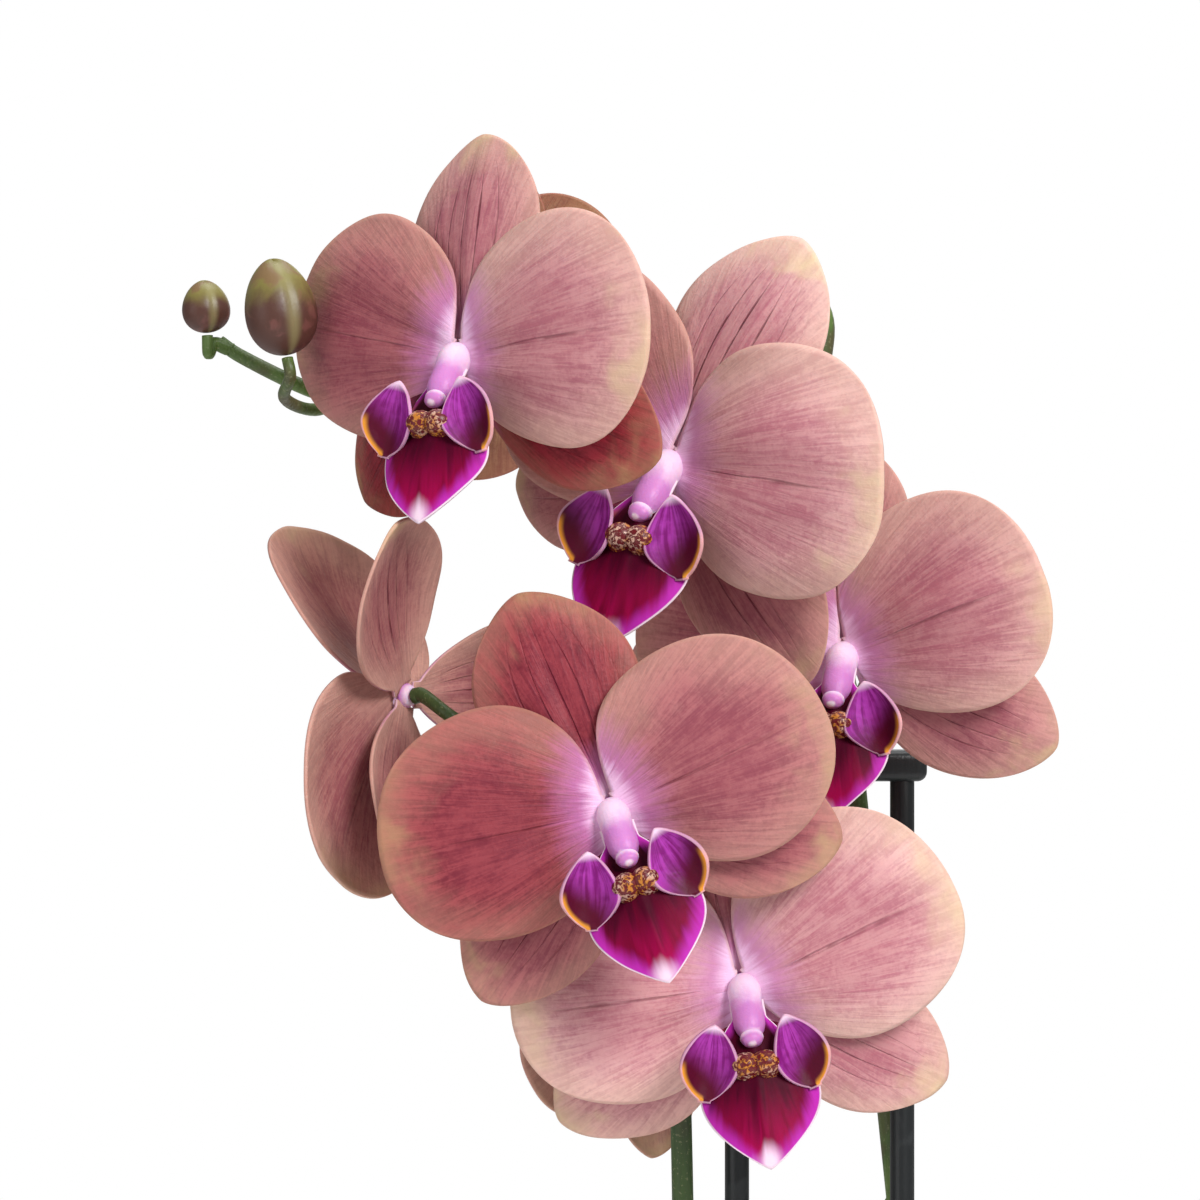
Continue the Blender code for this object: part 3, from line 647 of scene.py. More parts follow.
# The blades of a flower, in flower spans. The lean of a petal or a sepal is its flower's.
PETAL = Blade(0.4918, 0.49, 0, 4, 0.05, (0.57, 0.46, 0.13), 0.30, 0.020, 0.008, 40, 0.085)
DORSAL_SEPAL = Blade(0.49, 0.36, 0, -14, 0.10, (0.55, 0.62, 0.20), 0, 0.016, 0.014, 36, 0.04)
LATERAL_SEPAL = DORSAL_SEPAL._replace(width=0.31)
LOBE = Blade(0.37, 0.2484, 42, -34, 0.30, (0.56, 0.85, 0.30), 0, 0.02, -0.03)
SIDE_LOBE = Blade(0.168, 0.122, -12, 26, -0.55, (0.46, 0.75, 0.22), 0, 0.03, 0, 20)
THROAT_SHEET = Blade(0.16, 0.20, -32, 10, -0.35, (0.5, 0.4, 0.6), 0, 0.02, 0, 16)
PETAL_SKEW = 0.10  # how much fuller a petal's upper half is


def uv_maps(bm):
    """The map along the blade (side, share of the length) and the map of its sheet (rim, across)."""
    maps = bm.loops.layers.uv
    return [maps.get(name) or maps.new(name) for name in ("blade", "sheet")]


def finish_part(bm, place, verts, known, slot):
    """Gives a new part its maps, from what is known of each vertex, its slot and its place."""
    maps = uv_maps(bm)
    for face in {face for vert in verts for face in vert.link_faces}:
        face.material_index = slot
        for loop in face.loops:
            for layer, value in zip(maps, known[loop.vert]):
                loop[layer].uv = value
    bmesh.ops.transform(bm, matrix=place, verts=verts)


def add_blade(bm, blade, place, seed, slot=0, outer=1):
    """Adds a thin blade that starts at the origin of place, points up it (+Z) and faces its -Y.

    Outer is 1 or -1, and says which of its sides the map counts as the outer one."""
    uv_maps(bm)
    made = bmesh.ops.create_grid(bm, x_segments=blade.grid, y_segments=blade.grid, size=1)["verts"]
    known = {}
    for vert in made:
        x, y, _ = vert.co
        across = x * math.sqrt(1 - y * y / 2)
        along = y * math.sqrt(1 - x * x / 2)
        t = min(max((along + 1) / 2, 0), 1)
        side = across / math.sqrt(max(1 - along * along, 1e-9))
        rim = math.hypot(across, along)
        # The outline, uneven and fuller on one side.
        uneven = 1 + blade.ruffle * 4 * noise.noise(Vector((side * 0.9, t * 2.2, seed + 70))) * rim
        uneven += blade.skew * side
        half = side * outline(t, *blade.shape) * uneven
        back = blade.shoulder * half**2 * (1 - t) ** 2
        # The directions along the bent blade and out of it.
        foot, tip = math.radians(blade.lean), math.radians(blade.lean + blade.bend * t)
        middle = (foot + tip) / 2
        up = Vector((0, -math.sin(middle), math.cos(middle)))
        forward = Vector((0, -math.cos(tip), -math.sin(tip)))
        # Waves at the edge, a slow swell, the midrib's groove, soft pleats and the dome.
        wave = noise.noise(Vector((half * 2.3, t * 2.6, seed))) * blade.ruffle * rim**3
        swell = noise.noise(Vector((half * 1.1, t * 1.3, seed + 40))) * blade.ruffle * 0.8 * min(1, t * 4)
        rib = -blade.groove * math.exp(-((half / 0.09) ** 2)) * (1 - t) * min(1, t * 6)
        pleat = noise.noise(Vector((side * 2.4, t * 0.9, seed + 90))) * blade.dome * 0.5 * (1 - rim**2)
        dome = blade.dome * (1 - rim**2)
        out = (wave + swell + rib + pleat + dome) * blade.length - blade.fold * half**2 * blade.width / 2
        vert.co = blade.length * (t - back) * up + Vector((half * blade.width / 2, 0, 0)) + forward * out
        known[vert] = ((side * outer, t), (rim, half * blade.width / 2 / blade.length))
    finish_part(bm, place, made, known, slot)


def thicken(obj, thickness, back_slot=0):
    """Gives a sheet its thickness. Its back has the material this many slots after its front's."""
    solidify = obj.modifiers.new("thickness", "SOLIDIFY")
    solidify.thickness = thickness
    solidify.offset = 0
    solidify.material_offset = back_slot


def add_round(bm, place, radii, profile, segments=24, rings=16, slot=0):
    """Adds a closed round body along +Z of place, from 0 to 1 of its length, with a radius profile."""
    uv_maps(bm)
    made = bmesh.ops.create_uvsphere(bm, u_segments=segments, v_segments=rings, radius=0.5)["verts"]
    known = {}
    for vert in made:
        x, y, z = vert.co
        t = z + 0.5
        ring = max(2 * math.hypot(x, y), 1e-9)
        size = profile(t) * min(1, ring * 1.15)
        vert.co = Vector((x / ring * 2 * size * radii[0], y / ring * 2 * size * radii[1], t * radii[2]))
        known[vert] = ((0, t), (0, 0))
    finish_part(bm, place, made, known, slot)


def smooth_route(points, steps):
    """Points along a smooth curve through the given points, with this many steps between each two."""
    points = [Vector(p) for p in points]
    ends = [2 * points[0] - points[1], *points, 2 * points[-1] - points[-2]]
    route = []
    for before, start, end, after in zip(ends, ends[1:], ends[2:], ends[3:]):
        for i in range(steps):
            t = i / steps
            bend = (2 * before - 5 * start + 4 * end - after) * t**2
            twist = (3 * start - before - 3 * end + after) * t**3
            route.append(start + ((end - before) * t + bend + twist) / 2)
    return [*route, points[-1]]


def add_tube(bm, route, radii, sides=4):
    """Adds a round stem along a route, with a radius at each point and closed ends."""
    curve = bpy.data.curves.new("route", "CURVE")
    curve.dimensions = "3D"
    curve.bevel_depth = 1
    curve.bevel_resolution = sides
    curve.use_fill_caps = True
    spline = curve.splines.new("POLY")
    spline.points.add(len(route) - 1)
    for point, place, radius in zip(spline.points, route, radii):
        point.co = (*place, 1)
        point.radius = radius
    guide = add_object("route", curve)
    graph = bpy.context.evaluated_depsgraph_get()
    mesh = bpy.data.meshes.new_from_object(guide.evaluated_get(graph))
    bm.from_mesh(mesh)
    bmesh.ops.remove_doubles(bm, verts=bm.verts, dist=0.00001)
    bpy.data.objects.remove(guide)
    bpy.data.meshes.remove(mesh)


# Flowers


def among_flowers(place):
    return Vector((0, 0, SUPPORT_HEIGHT)) + FLOWER_SPAN * Vector(place)


def flower_frame(flower):
    left = Matrix.Rotation(math.radians(-flower.left), 4, "Z")
    return Matrix.Translation(among_flowers(flower.place)) @ left


def lip_turn(flower):
    """The lip faces less to the side than its flower does."""
    back = Matrix.Rotation(math.radians(min(flower.left, LIP_TURN_LIMIT) * LIP_TURN), 4, "Z")
    return back @ rolled(flower.lip_roll)


def make_sepals(flower, frame, span, seed):
    bm = bmesh.new()
    reach = shifted((0, 0, SEPAL_START), span)
    for i, angle in enumerate((0, -LATERAL_ANGLE, LATERAL_ANGLE)):
        blade = (LATERAL_SEPAL if angle else DORSAL_SEPAL).sized(span, lean=flower.leans[2])
        place = frame @ rolled(flower.sepal_roll + angle) @ reach
        add_blade(bm, blade, place, seed + i, 2 if angle else 0)
    # The sepals' paleness carries painted shade where they lie in shadow.
    _, _, dorsal, laterals = PALENESS_WITH_PAINTED_SHADE[flower.name]
    skins = [
        tepal_finish(f"{flower.name}_{part}_{'back' if back else 'front'}", paleness, seed, True, back)
        for part, paleness in (("dorsal", dorsal), ("laterals", laterals))
        for back in (False, True)
    ]
    name = f"{flower.name}_sepals"
    thicken(piece(name, bm, "sepals", name, *skins), TEPAL_THICKNESS, 1)


def make_petal(flower, frame, span, side, seed):
    bm = bmesh.new()
    which = 1 if side > 0 else 0
    blade = PETAL.sized(span, lean=flower.leans[which], skew=-side * PETAL_SKEW)
    lift = shifted((0, -PETAL_LIFT, 0), span)
    roll = rolled(flower.petal_roll - side * flower.petal_angle)
    reach = shifted((0, 0, PETAL_START), span)
    add_blade(bm, blade, frame @ lift @ roll @ reach, seed + 10 * side)
    name = f"{flower.name}_petal_{('left', 'right')[which]}"
    # A petal's paleness carries painted light and shade: right petals are painted paler, as if lit from the
    # right.
    paleness = PALENESS_WITH_PAINTED_SHADE[flower.name][which]
    front = tepal_finish(f"{name}_front", paleness, seed + side, False, False)
    back = tepal_finish(f"{name}_back", paleness, seed + side, False, True)
    thicken(piece(name, bm, "petals", name, front, back), TEPAL_THICKNESS, 1)


def make_lip(flower, frame, span, seed):
    """The lip: a middle lobe, two raised side lobes and, between them, a throat sheet painted near black as
    the shade in the lip's hollow.
    """
    turned = frame @ lip_turn(flower)
    bm = bmesh.new()
    add_blade(bm, LOBE.sized(span), turned @ shifted(LOBE_FOOT, span) @ rolled(180), seed)
    x, y, z = SIDE_LOBE_FOOT
    for side in (-1, 1):
        place = turned @ shifted((side * x, y, z), span) @ rolled(side * SIDE_LOBE_ROLL)
        add_blade(bm, SIDE_LOBE.sized(span), place, seed + side, 1, side)
    # The throat sheet is a dark sheet that stands for the shade in the lip's hollow.
    add_blade(bm, THROAT_SHEET.sized(span), turned @ shifted(THROAT_FOOT, span), seed, 2)
    lobe_skin = lobe_finish(f"{flower.name}_lobe", seed)
    side_lobe_skin = side_lobe_finish(f"{flower.name}_side_lobe", seed)
    name = f"{flower.name}_lip"
    thicken(piece(name, bm, "lips", name, lobe_skin, side_lobe_skin, THROAT_PAINTED_SHADE), TEPAL_THICKNESS)


def column_radius(t):
    """The column's radius in flower spans: waisted, and fuller again at its end."""
    return 0.044 - 0.034 * t + 0.029 * t * t


def make_column(flower, frame, span):
    """The column over the lip, the callus at the lip's foot, and the hub that carries the flower."""
    turned = frame @ lip_turn(flower)
    bm = bmesh.new()
    axis = turned @ shifted(COLUMN_FOOT, span) @ leaned(COLUMN_LEAN)
    add_round(bm, axis, (span, span, COLUMN_LENGTH * span), column_radius)
    cap = turned @ shifted(CAP_PLACE, span) @ leaned(CAP_LEAN)
    add_round(bm, cap, [size * span for size in CAP_SIZE], lambda t: 1 - 0.4 * t)
    x, y, z = CALLUS_PLACE
    for side in (-1, 1):
        lump = turned @ shifted((side * x, y, z), span) @ leaned(CALLUS_LEAN)
        add_round(bm, lump, [size * span for size in CALLUS_SIZE], lambda t: 1 - 0.25 * t, slot=1)
    hub = frame @ shifted((0, HUB_BACK, 0), span) @ leaned(90)
    radius, depth = HUB_RADIUS * span, (HUB_FRONT + HUB_BACK) * span
    add_round(bm, hub, (radius, radius, depth), lambda t: 0.55 + 0.45 * t)
    piece(f"{flower.name}_column", bm, "lips", f"{flower.name}_lip", COLUMN, CALLUS)


def make_flower(flower, seed):
    frame = flower_frame(flower)
    span = FLOWER_SPAN * flower.size
    make_sepals(flower, frame, span, seed)
    for side in (-1, 1):
        make_petal(flower, frame, span, side, seed)
    make_lip(flower, frame, span, seed)
    make_column(flower, frame, span)


# Spikes and buds


def flower_stalk(flower, arch):
    """The stalk's route, from the nearest stretch of the spike to the back of the flower."""
    frame = flower_frame(flower)
    down = FLOWER_SPAN * Vector((0, 0, -1))
    back = HUB_BACK * FLOWER_SPAN * flower.size
    end = frame @ Vector((0, back + GAP, 0))
    near_end = frame @ Vector((0, back + 0.03 * FLOWER_SPAN, 0))
    behind = frame @ Vector((0, back + STALK_REACH * FLOWER_SPAN, 0)) + STALK_DROP * down
    start = min(arch, key=lambda p: (p - behind - 0.06 * down).length)
    quarter = start.lerp(behind, 0.45) + 0.03 * down
    return [start, quarter, behind, near_end, end]


def bud_frame(centre, lean):
    return Matrix.Translation(among_flowers(centre)) @ rolled(lean)


def bud_stalk(centre, length, lean, route):
    bottom = -length * FLOWER_SPAN / 2
    foot = bud_frame(centre, lean) @ Vector((0, 0, bottom - 2 * GAP))
    below = bud_frame(centre, lean) @ Vector((0, 0, bottom - 0.05 * FLOWER_SPAN))
    return [*map(among_flowers, route), below, foot]


def spike_points(side, clip_level, arch):
    """The points that one stem runs through, and how many of them are below the arch."""
    stake = Vector((STAKE_X[side], 0, 0))
    beside = stake + STEM_BESIDE_STAKE[side]
    crown_x, crown_y = CROWN_PLACE
    rise = CROWN_DIAMETER / 2 + SPIKE_DIAMETER / 2 + GAP
    foot = Vector((crown_x + side * 0.45 * rise, crown_y + 0.95 * rise, BARK_LEVEL + 0.004))
    round_stake = stake + STEM_ROUND_STAKE[side] + Vector((0, 0, BARK_LEVEL + 0.055))
    straight = [beside + Vector((0, 0, clip_level + n * CLIP_HEIGHT)) for n in (-2, -0.8, 0.8, 2)]
    lower = (foot, foot + Vector((side * 0.001, 0.003, 0.012)), round_stake, *straight)
    return [*lower, *map(among_flowers, arch)], len(lower)


def add_bract(bm, place, radius, up, facing, length, seed):
    """A small pointed sheath on a stem of this radius, on the side that it faces."""
    out = (facing - facing.dot(up) * up).normalized()
    place = place + out * radius * 0.9
    turn = Matrix((out.cross(up), -out, up)).transposed().to_4x4()
    turn.translation = place + out * 0.0004
    shape = (0.35, 0.9, 0.75)
    sheath = Blade(length, length * 0.75, 16, -10, 1.2, shape, ruffle=0.02, groove=0, grid=10)
    add_blade(bm, sheath, turn, seed)


def make_spike(name, side, clip_level, arch, flowers, buds, skin, node_levels):
    points, below = spike_points(side, clip_level, arch)
    route = smooth_route(points, 10)
    bm = bmesh.new()
    count = len(route)
    radii = []
    for i, place in enumerate(route):
        radius = SPIKE_DIAMETER / 2 + (STALK_DIAMETER - SPIKE_DIAMETER) / 2 * (i / (count - 1)) ** 2
        for level in node_levels:
            swelling = math.exp(-(((place.z - level) / NODE_REACH) ** 2))
            radius *= 1 + NODE_SWELL * swelling * (i < 12 * below)
        radii.append(radius)
    add_tube(bm, route, radii)
    high = smooth_route(points, 2)[2 * below :]
    bracts = []
    for flower in flowers:
        stalk = flower_stalk(flower, high)
        run = smooth_route(stalk, 8)
        waist = [math.sin(math.pi * i / len(run)) for i in range(len(run))]
        stalk_radii = [STALK_DIAMETER * (0.62 - 0.12 * share) for share in waist]
        stalk_radii[0] = STALK_DIAMETER * 0.8
        add_tube(bm, run, stalk_radii)
        bracts.append((stalk[0], stalk[1] - stalk[0], 0.0075))
    for _, centre, _, length, lean, stalk_route in buds:
        stalk = bud_stalk(centre, length, lean, stalk_route)
        run = smooth_route(stalk, 8)
        add_tube(bm, run, [STALK_DIAMETER * (0.5 - 0.08 * i / len(run)) for i in range(len(run))])
        bracts.append((stalk[0], stalk[1] - stalk[0], 0.0050))
    for level in node_levels:
        near = min(range(1, 10 * below), key=lambda i: abs(route[i].z - level))
        bracts.append((route[near], Vector((-side * 0.4, -1, 0)), 0.012))
    for i, (place, facing, length) in enumerate(bracts):
        nearest = min(range(1, count - 1), key=lambda n: (route[n] - place).length)
        up = (route[nearest + 1] - route[nearest - 1]).normalized()
        add_bract(bm, route[nearest], radii[nearest], up, facing, length, i)
    piece(name, bm, "spikes", name, skin)


def make_bud(name, centre, width, length, lean):
    """An egg-shaped bud of three closed sepals, with its blunt end on the stalk."""
    bm = bmesh.new()
    uv_maps(bm)
    made = bmesh.ops.create_uvsphere(bm, u_segments=60, v_segments=36, radius=0.5)["verts"]
    known = {}
    for vert in made:
        x, y, height = vert.co
        angle = math.atan2(y, x)
        apart = min(abs(math.remainder(angle - seam, 2 * math.pi)) for seam in (-1.1, 1.0, 3.0))
        seam = math.exp(-((apart / 0.10) ** 2)) * min(1, max(0, (height + 0.42) * 3))
        puff = 1 + 0.03 * math.cos(3 * (angle + 0.05))
        fullness = (1.04 - 0.34 * height) * puff * (1 - 0.055 * seam)
        notch = 0.03 * math.exp(-((apart / 0.5) ** 2)) * max(0, height - 0.3) * 5
        girth = width * fullness
        vert.co = Vector((x * girth, y * girth, (height - notch) * length)) * FLOWER_SPAN
        known[vert] = ((angle, height + 0.5), (apart, 0))
    finish_part(bm, bud_frame(centre, lean), made, known, 0)
    piece(name, bm, "buds", name, BUD_SKIN)


# Leaves, roots, bark and pot


def make_crown_and_leaves():
    place = Matrix.Translation((*CROWN_PLACE, BARK_LEVEL + GAP))
    bm = bmesh.new()
    radius = CROWN_DIAMETER / 2
    add_round(bm, place, (radius, radius, CROWN_HEIGHT), lambda t: 1 - 0.28 * t, 32, 24)
    piece("crown", bm, "leaves", "crown", LEAF_UNDER)
    for i, (heading, rise, droop, size) in enumerate(LEAVES):
        bm = bmesh.new()
        blade = Blade(
            LEAF_LENGTH * size,
            LEAF_WIDTH * size,
            lean=90 - rise,
            bend=droop,
            fold=0.22,
            shape=(0.60, 0.62, 0.26),
            groove=0.010,
            grid=54,
        )
        out = Matrix.Translation((0, -CROWN_DIAMETER / 2 - LEAF_THICKNESS, 0))
        level = Matrix.Translation((0, 0, 0.006 + LEAF_PITCH * i))
        turn = Matrix.Rotation(math.radians(heading + 90), 4, "Z")
        add_blade(bm, blade, place @ level @ turn @ out, i)
        name = f"leaf_{i + 1}"
        thicken(piece(name, bm, "leaves", name, LEAF_UNDER, LEAF_TOP), LEAF_THICKNESS, 1)


def make_roots():
    rim = POT_RIM_DIAMETER / 2
    for i, stations in enumerate(ROOTS):
        route = []
        for share, degrees, above in stations:
            turn = math.radians(degrees)
            route.append((rim * share * math.cos(turn), rim * share * math.sin(turn), POT_HEIGHT + above))
        run = smooth_route(route, 14)
        radii = []
        for n, place in enumerate(run):
            share = n / (len(run) - 1)
            lumps = 1 + 0.10 * noise.noise(place * 160 + Vector((i * 5, 0, 0)))
            blunt = math.sqrt(max(0.02, 1 - max(0, share - 0.9) ** 2 * 99))
            radii.append(ROOT_DIAMETER / 2 * (1 - 0.28 * share) * lumps * blunt)
        bm = bmesh.new()
        add_tube(bm, run, radii, 6)
        piece(f"root_{i + 1}", bm, "roots", f"root_{i + 1}", ROOT_SKIN)


def pot_radius(level):
    """The outer radius of the pot's wall at a height, without its rim."""
    top = POT_RIM_DIAMETER / 2 - RIM_LIP
    base = POT_BASE_DIAMETER / 2
    return base + (top - base) * level / POT_HEIGHT


def box(length, depth, height):
    """A block that is centred on the origin."""
    bm = bmesh.new()
    bmesh.ops.create_cube(bm, size=1)
    bmesh.ops.scale(bm, vec=(length, depth, height), verts=bm.verts)
    return bm


def turned_shell(bm, profile, steps):
    """Turns a profile, given as (radius, height), round the Z axis."""
    verts = [bm.verts.new((radius, 0, height)) for radius, height in profile]
    edges = [bm.edges.new(pair) for pair in zip(verts, verts[1:])]
    turn = {"cent": (0, 0, 0), "axis": (0, 0, 1), "angle": 2 * math.pi, "steps": steps}
    bmesh.ops.spin(bm, geom=verts + edges, use_merge=True, **turn)
    bmesh.ops.remove_doubles(bm, verts=bm.verts, dist=0.000001)
    bmesh.ops.recalc_face_normals(bm, faces=bm.faces)


def add_mesh(bm, other):
    """Moves the other shape into this one."""
    mesh = mesh_from(other, "shape")
    bm.from_mesh(mesh)
    bpy.data.meshes.remove(mesh)


def sharp_edges(bm, angle=0.5):
    """The edges whose faces turn by more than this angle, in radians."""
    return [edge for edge in bm.edges if edge.calc_face_angle(0) > angle]


def round_edges(bm, edges, radius, segments=3):
    how = {"offset_type": "OFFSET", "affect": "EDGES", "profile": 0.5, "material": -1}
    bmesh.ops.bevel(bm, geom=edges, offset=radius, segments=segments, **how)


def make_bark():
    """Loose chips over a plug that fills the pot up to its headspace."""
    bm = bmesh.new()
    bottom = POT_WALL + GAP
    top = BARK_LEVEL - 0.003
    dice = random.Random(7)
    reach = pot_radius(BARK_LEVEL) - POT_WALL - 0.0075
    block = bmesh.new()
    bmesh.ops.create_cube(block, size=1)
    bmesh.ops.subdivide_edges(block, edges=list(block.edges), cuts=2, use_grid_fill=True)
    count = len(block.verts)
    plain = mesh_from(block, "chip")
    for _ in range(CHIP_COUNT):
        length, width = dice.uniform(0.008, 0.017), dice.uniform(0.006, 0.010)
        size = Vector((length, width, dice.uniform(0.0025, 0.0045)))
        bm.from_mesh(plain)
        bm.verts.ensure_lookup_table()
        chip = bm.verts[-count:]
        turn = Matrix.Rotation(dice.uniform(0, math.pi), 4, "Z")
        tilt = Matrix.Rotation(dice.gauss(0, 0.28), 4, "X") @ Matrix.Rotation(dice.gauss(0, 0.28), 4, "Y")
        distance = reach * math.sqrt(dice.random())
        angle = dice.uniform(0, 2 * math.pi)
        level = top + dice.uniform(0, 0.003)
        spot = Vector((distance * math.cos(angle), distance * math.sin(angle), level))
        shift = Vector((dice.random() * 50, 0, 0))
        for vert in chip:
            lump = 1 + 0.35 * noise.noise(vert.co * 2.1 + shift)
            square = vert.co.normalized() * 0.62
            place = vert.co.lerp(square, 0.35) * lump
            vert.co = Vector((place.x * size.x, place.y * size.y, place.z * size.z))
        bmesh.ops.transform(bm, matrix=Matrix.Translation(spot) @ turn @ tilt, verts=chip)
    profile = (
        (0, top),
        (pot_radius(top) - POT_WALL - GAP, top),
        (pot_radius(bottom) - POT_WALL - GAP, bottom),
        (0, bottom),
    )
    plug = bmesh.new()
    turned_shell(plug, profile, 64)
    add_mesh(bm, plug)
    piece("bark", bm, "bark", "bark", BARK_CHIPS)


def make_pot():
    """The pot's wall, floor and rim, with slots through its floor."""
    bm = bmesh.new()
    rim_bottom = POT_HEIGHT - RIM_HEIGHT
    profile = (
        (0, POT_WALL),
        (pot_radius(POT_WALL) - POT_WALL, POT_WALL),
        (pot_radius(POT_HEIGHT) - POT_WALL, POT_HEIGHT),
        (POT_RIM_DIAMETER / 2, POT_HEIGHT),
        (POT_RIM_DIAMETER / 2, rim_bottom),
        (pot_radius(rim_bottom), rim_bottom - RIM_LIP),
        (pot_radius(0), 0),
        (0, 0),
    )
    turned_shell(bm, profile, 96)
    rings = [
        edge for edge in sharp_edges(bm, 0.3) if abs(edge.verts[0].co.z - edge.verts[1].co.z) < 0.0001
    ]
    round_edges(bm, rings, 0.0008)
    pot = piece("pot", bm, "pot", "pot", POT_GLAZE)
    cutters = []
    for i in range(DRAIN_SLOTS):
        cutter = box(DRAIN_SLOT_LENGTH, DRAIN_SLOT_WIDTH, 3 * POT_WALL)
        bmesh.ops.translate(cutter, vec=(POT_BASE_DIAMETER * 0.29, 0, POT_WALL / 2), verts=cutter.verts)
        turn = Matrix.Rotation(2 * math.pi * i / DRAIN_SLOTS, 4, "Z")
        bmesh.ops.transform(cutter, matrix=turn, verts=cutter.verts)
        cutters.append(add_object("drain_slot", mesh_from(cutter, "drain_slot")))
        pot.modifiers.new("drain_slot", "BOOLEAN").object = cutters[-1]
    graph = bpy.context.evaluated_depsgraph_get()
    mesh = bpy.data.meshes.new_from_object(pot.evaluated_get(graph))
    pot.modifiers.clear()
    pot.data = mesh
    for cutter in cutters:
        bpy.data.objects.remove(cutter)


# Support


def make_stakes():
    top = SUPPORT_HEIGHT - CROSSBAR_HEIGHT / 2 + STAKE_TENON
    foot = 2 * (POT_WALL + GAP) + GAP
    half = STAKE_DIAMETER / 2
    for side, name in ((-1, "left_stake"), (1, "right_stake")):
        bm = bmesh.new()
        turned_shell(bm, ((0, top), (half, top), (half, foot), (0, foot)), 32)
        round_edges(bm, sharp_edges(bm), 0.0006)
        bmesh.ops.translate(bm, vec=(STAKE_X[side], 0, 0), verts=bm.verts)
        piece(name, bm, "support", name, SUPPORT_PLASTIC)


def make_crossbar():
    bm = box(STAKE_SPACING + 2 * CROSSBAR_OVERHANG, CROSSBAR_DEPTH, CROSSBAR_HEIGHT)
    round_edges(bm, list(bm.edges), 0.0022, 5)
    bmesh.ops.translate(bm, vec=(SUPPORT_SHIFT, 0, SUPPORT_HEIGHT), verts=bm.verts)
    piece("crossbar", bm, "support", "crossbar", SUPPORT_PLASTIC)


def add_ring(bm, centre, diameter):
    """The part of a clip that goes round a stake or a stem of this diameter."""
    inner = diameter / 2 + GAP
    outer = inner + CLIP_WALL
    profile = ((inner, 0), (outer, 0), (outer, CLIP_HEIGHT), (inner, CLIP_HEIGHT), (inner, 0))
    ring = bmesh.new()
    turned_shell(ring, profile, 40)
    round_edges(ring, sharp_edges(ring), 0.0004, 2)
    bmesh.ops.translate(ring, vec=centre, verts=ring.verts)
    add_mesh(bm, ring)


def make_clip(name, side, level):
    """A band round a stake and the stem beside it."""
    bm = bmesh.new()
    stake = Vector((STAKE_X[side], 0, level - CLIP_HEIGHT / 2))
    offset = STEM_BESIDE_STAKE[side]
    add_ring(bm, stake, STAKE_DIAMETER)
    add_ring(bm, stake + offset, SPIKE_DIAMETER)
    length = max(offset.length - STAKE_DIAMETER / 2 - SPIKE_DIAMETER / 2 - 2 * GAP, 0.001)
    web = box(length, STAKE_DIAMETER * 0.5, CLIP_HEIGHT * 0.9)
    turn = Matrix.Rotation(math.atan2(offset.y, offset.x), 4, "Z")
    middle = Matrix.Translation(stake + offset / 2 + Vector((0, 0, CLIP_HEIGHT / 2)))
    bmesh.ops.transform(web, matrix=middle @ turn, verts=web.verts)
    add_mesh(bm, web)
    piece(name, bm, "support", name, SUPPORT_PLASTIC)


# Stage

FLOOR_RADIUS = 1.4
GLOW = 0.32
# Lamps: name, place, width in metres and power in watts
LAMPS = (
    ("key_lamp", (0.75, -1.35, 1.45), 0.7, 30),
    ("fill_lamp", (-1.3, -1.1, 0.7), 1.2, 5),
    ("top_lamp", (0.1, 0.3, 2.0), 1.2, 12),
    ("back_lamp", (0.3, 1.7, 1.1), 1.2, 5),
)
LAMP_TARGET = (-0.03, 0, 0.45)
CAMERA_PLACE = (-0.048, -0.700, 0.503)
LENS, SENSOR = 91.3, 36  # in millimetres


def make_floor():
    bm = bmesh.new()
    bmesh.ops.create_circle(bm, cap_ends=True, segments=96, radius=FLOOR_RADIUS)
    mesh = mesh_from(bm, "floor")
    mesh.materials.append(floor_finish())
    add_object("floor", mesh)


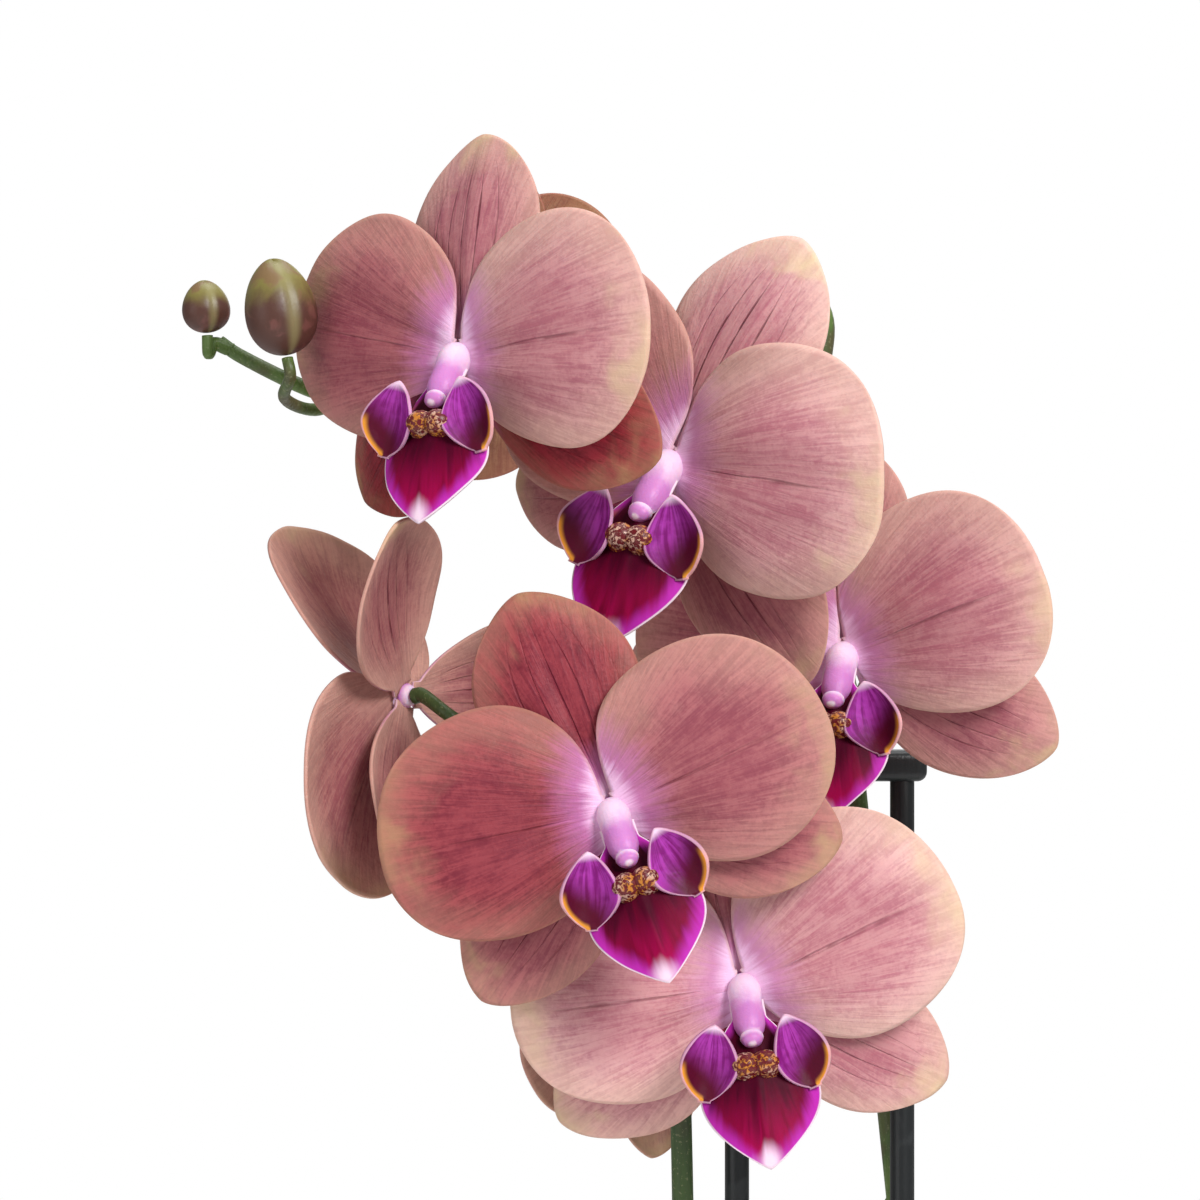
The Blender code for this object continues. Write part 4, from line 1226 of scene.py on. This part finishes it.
def make_backdrop():
    """A white backdrop to the camera, and a weaker white glow on the plant."""
    world = bpy.data.worlds.new("studio")
    bpy.context.scene.world = world
    world.use_nodes = True
    nodes, links = world.node_tree.nodes, world.node_tree.links
    glow, backdrop = nodes["Background"], nodes.new("ShaderNodeBackground")
    for light, strength in ((glow, GLOW), (backdrop, 1.0)):
        light.inputs["Color"].default_value = (1, 1, 1, 1)
        light.inputs["Strength"].default_value = strength
    seen = nodes.new("ShaderNodeMixShader")
    links.new(nodes.new("ShaderNodeLightPath").outputs["Is Camera Ray"], seen.inputs[0])
    links.new(glow.outputs[0], seen.inputs[1])
    links.new(backdrop.outputs[0], seen.inputs[2])
    links.new(seen.outputs[0], nodes["World Output"].inputs["Surface"])


def make_lamps():
    for name, place, width, power in LAMPS:
        light = bpy.data.lights.new(name, "AREA")
        light.shape = "DISK"
        light.size = width
        light.energy = power
        lamp = add_object(name, light)
        lamp.location = place
        lamp.rotation_euler = (Vector(LAMP_TARGET) - lamp.location).to_track_quat("-Z", "Y").to_euler()


def make_camera():
    lens = bpy.data.cameras.new("camera")
    lens.sensor_width = SENSOR
    lens.lens = LENS
    camera = add_object("camera", lens)
    camera.location = CAMERA_PLACE
    camera.rotation_euler = (math.pi / 2, 0, 0)
    bpy.context.scene.camera = camera


def main():
    for seed, flower in enumerate((*UPPER_FLOWERS, *FRONT_FLOWERS)):
        make_flower(flower, seed * 3.7)
    make_spike("upper_spike", 1, CLIP_LEVELS[0], UPPER_ARCH, UPPER_FLOWERS, BUDS, UPPER_STEM, (0.17, 0.36))
    make_spike("front_spike", -1, CLIP_LEVELS[1], FRONT_ARCH, FRONT_FLOWERS, (), FRONT_STEM_SHADED, (0.18, 0.30))
    for name, centre, width, length, lean, _ in BUDS:
        make_bud(name, centre, width, length, lean)
    make_crown_and_leaves()
    make_roots()
    make_bark()
    make_pot()
    make_stakes()
    make_crossbar()
    make_clip("upper_spike_clip", 1, CLIP_LEVELS[0])
    make_clip("front_spike_clip", -1, CLIP_LEVELS[1])
    make_floor()
    make_backdrop()
    make_lamps()
    make_camera()
    bpy.context.scene.view_settings.view_transform = "Standard"


main()
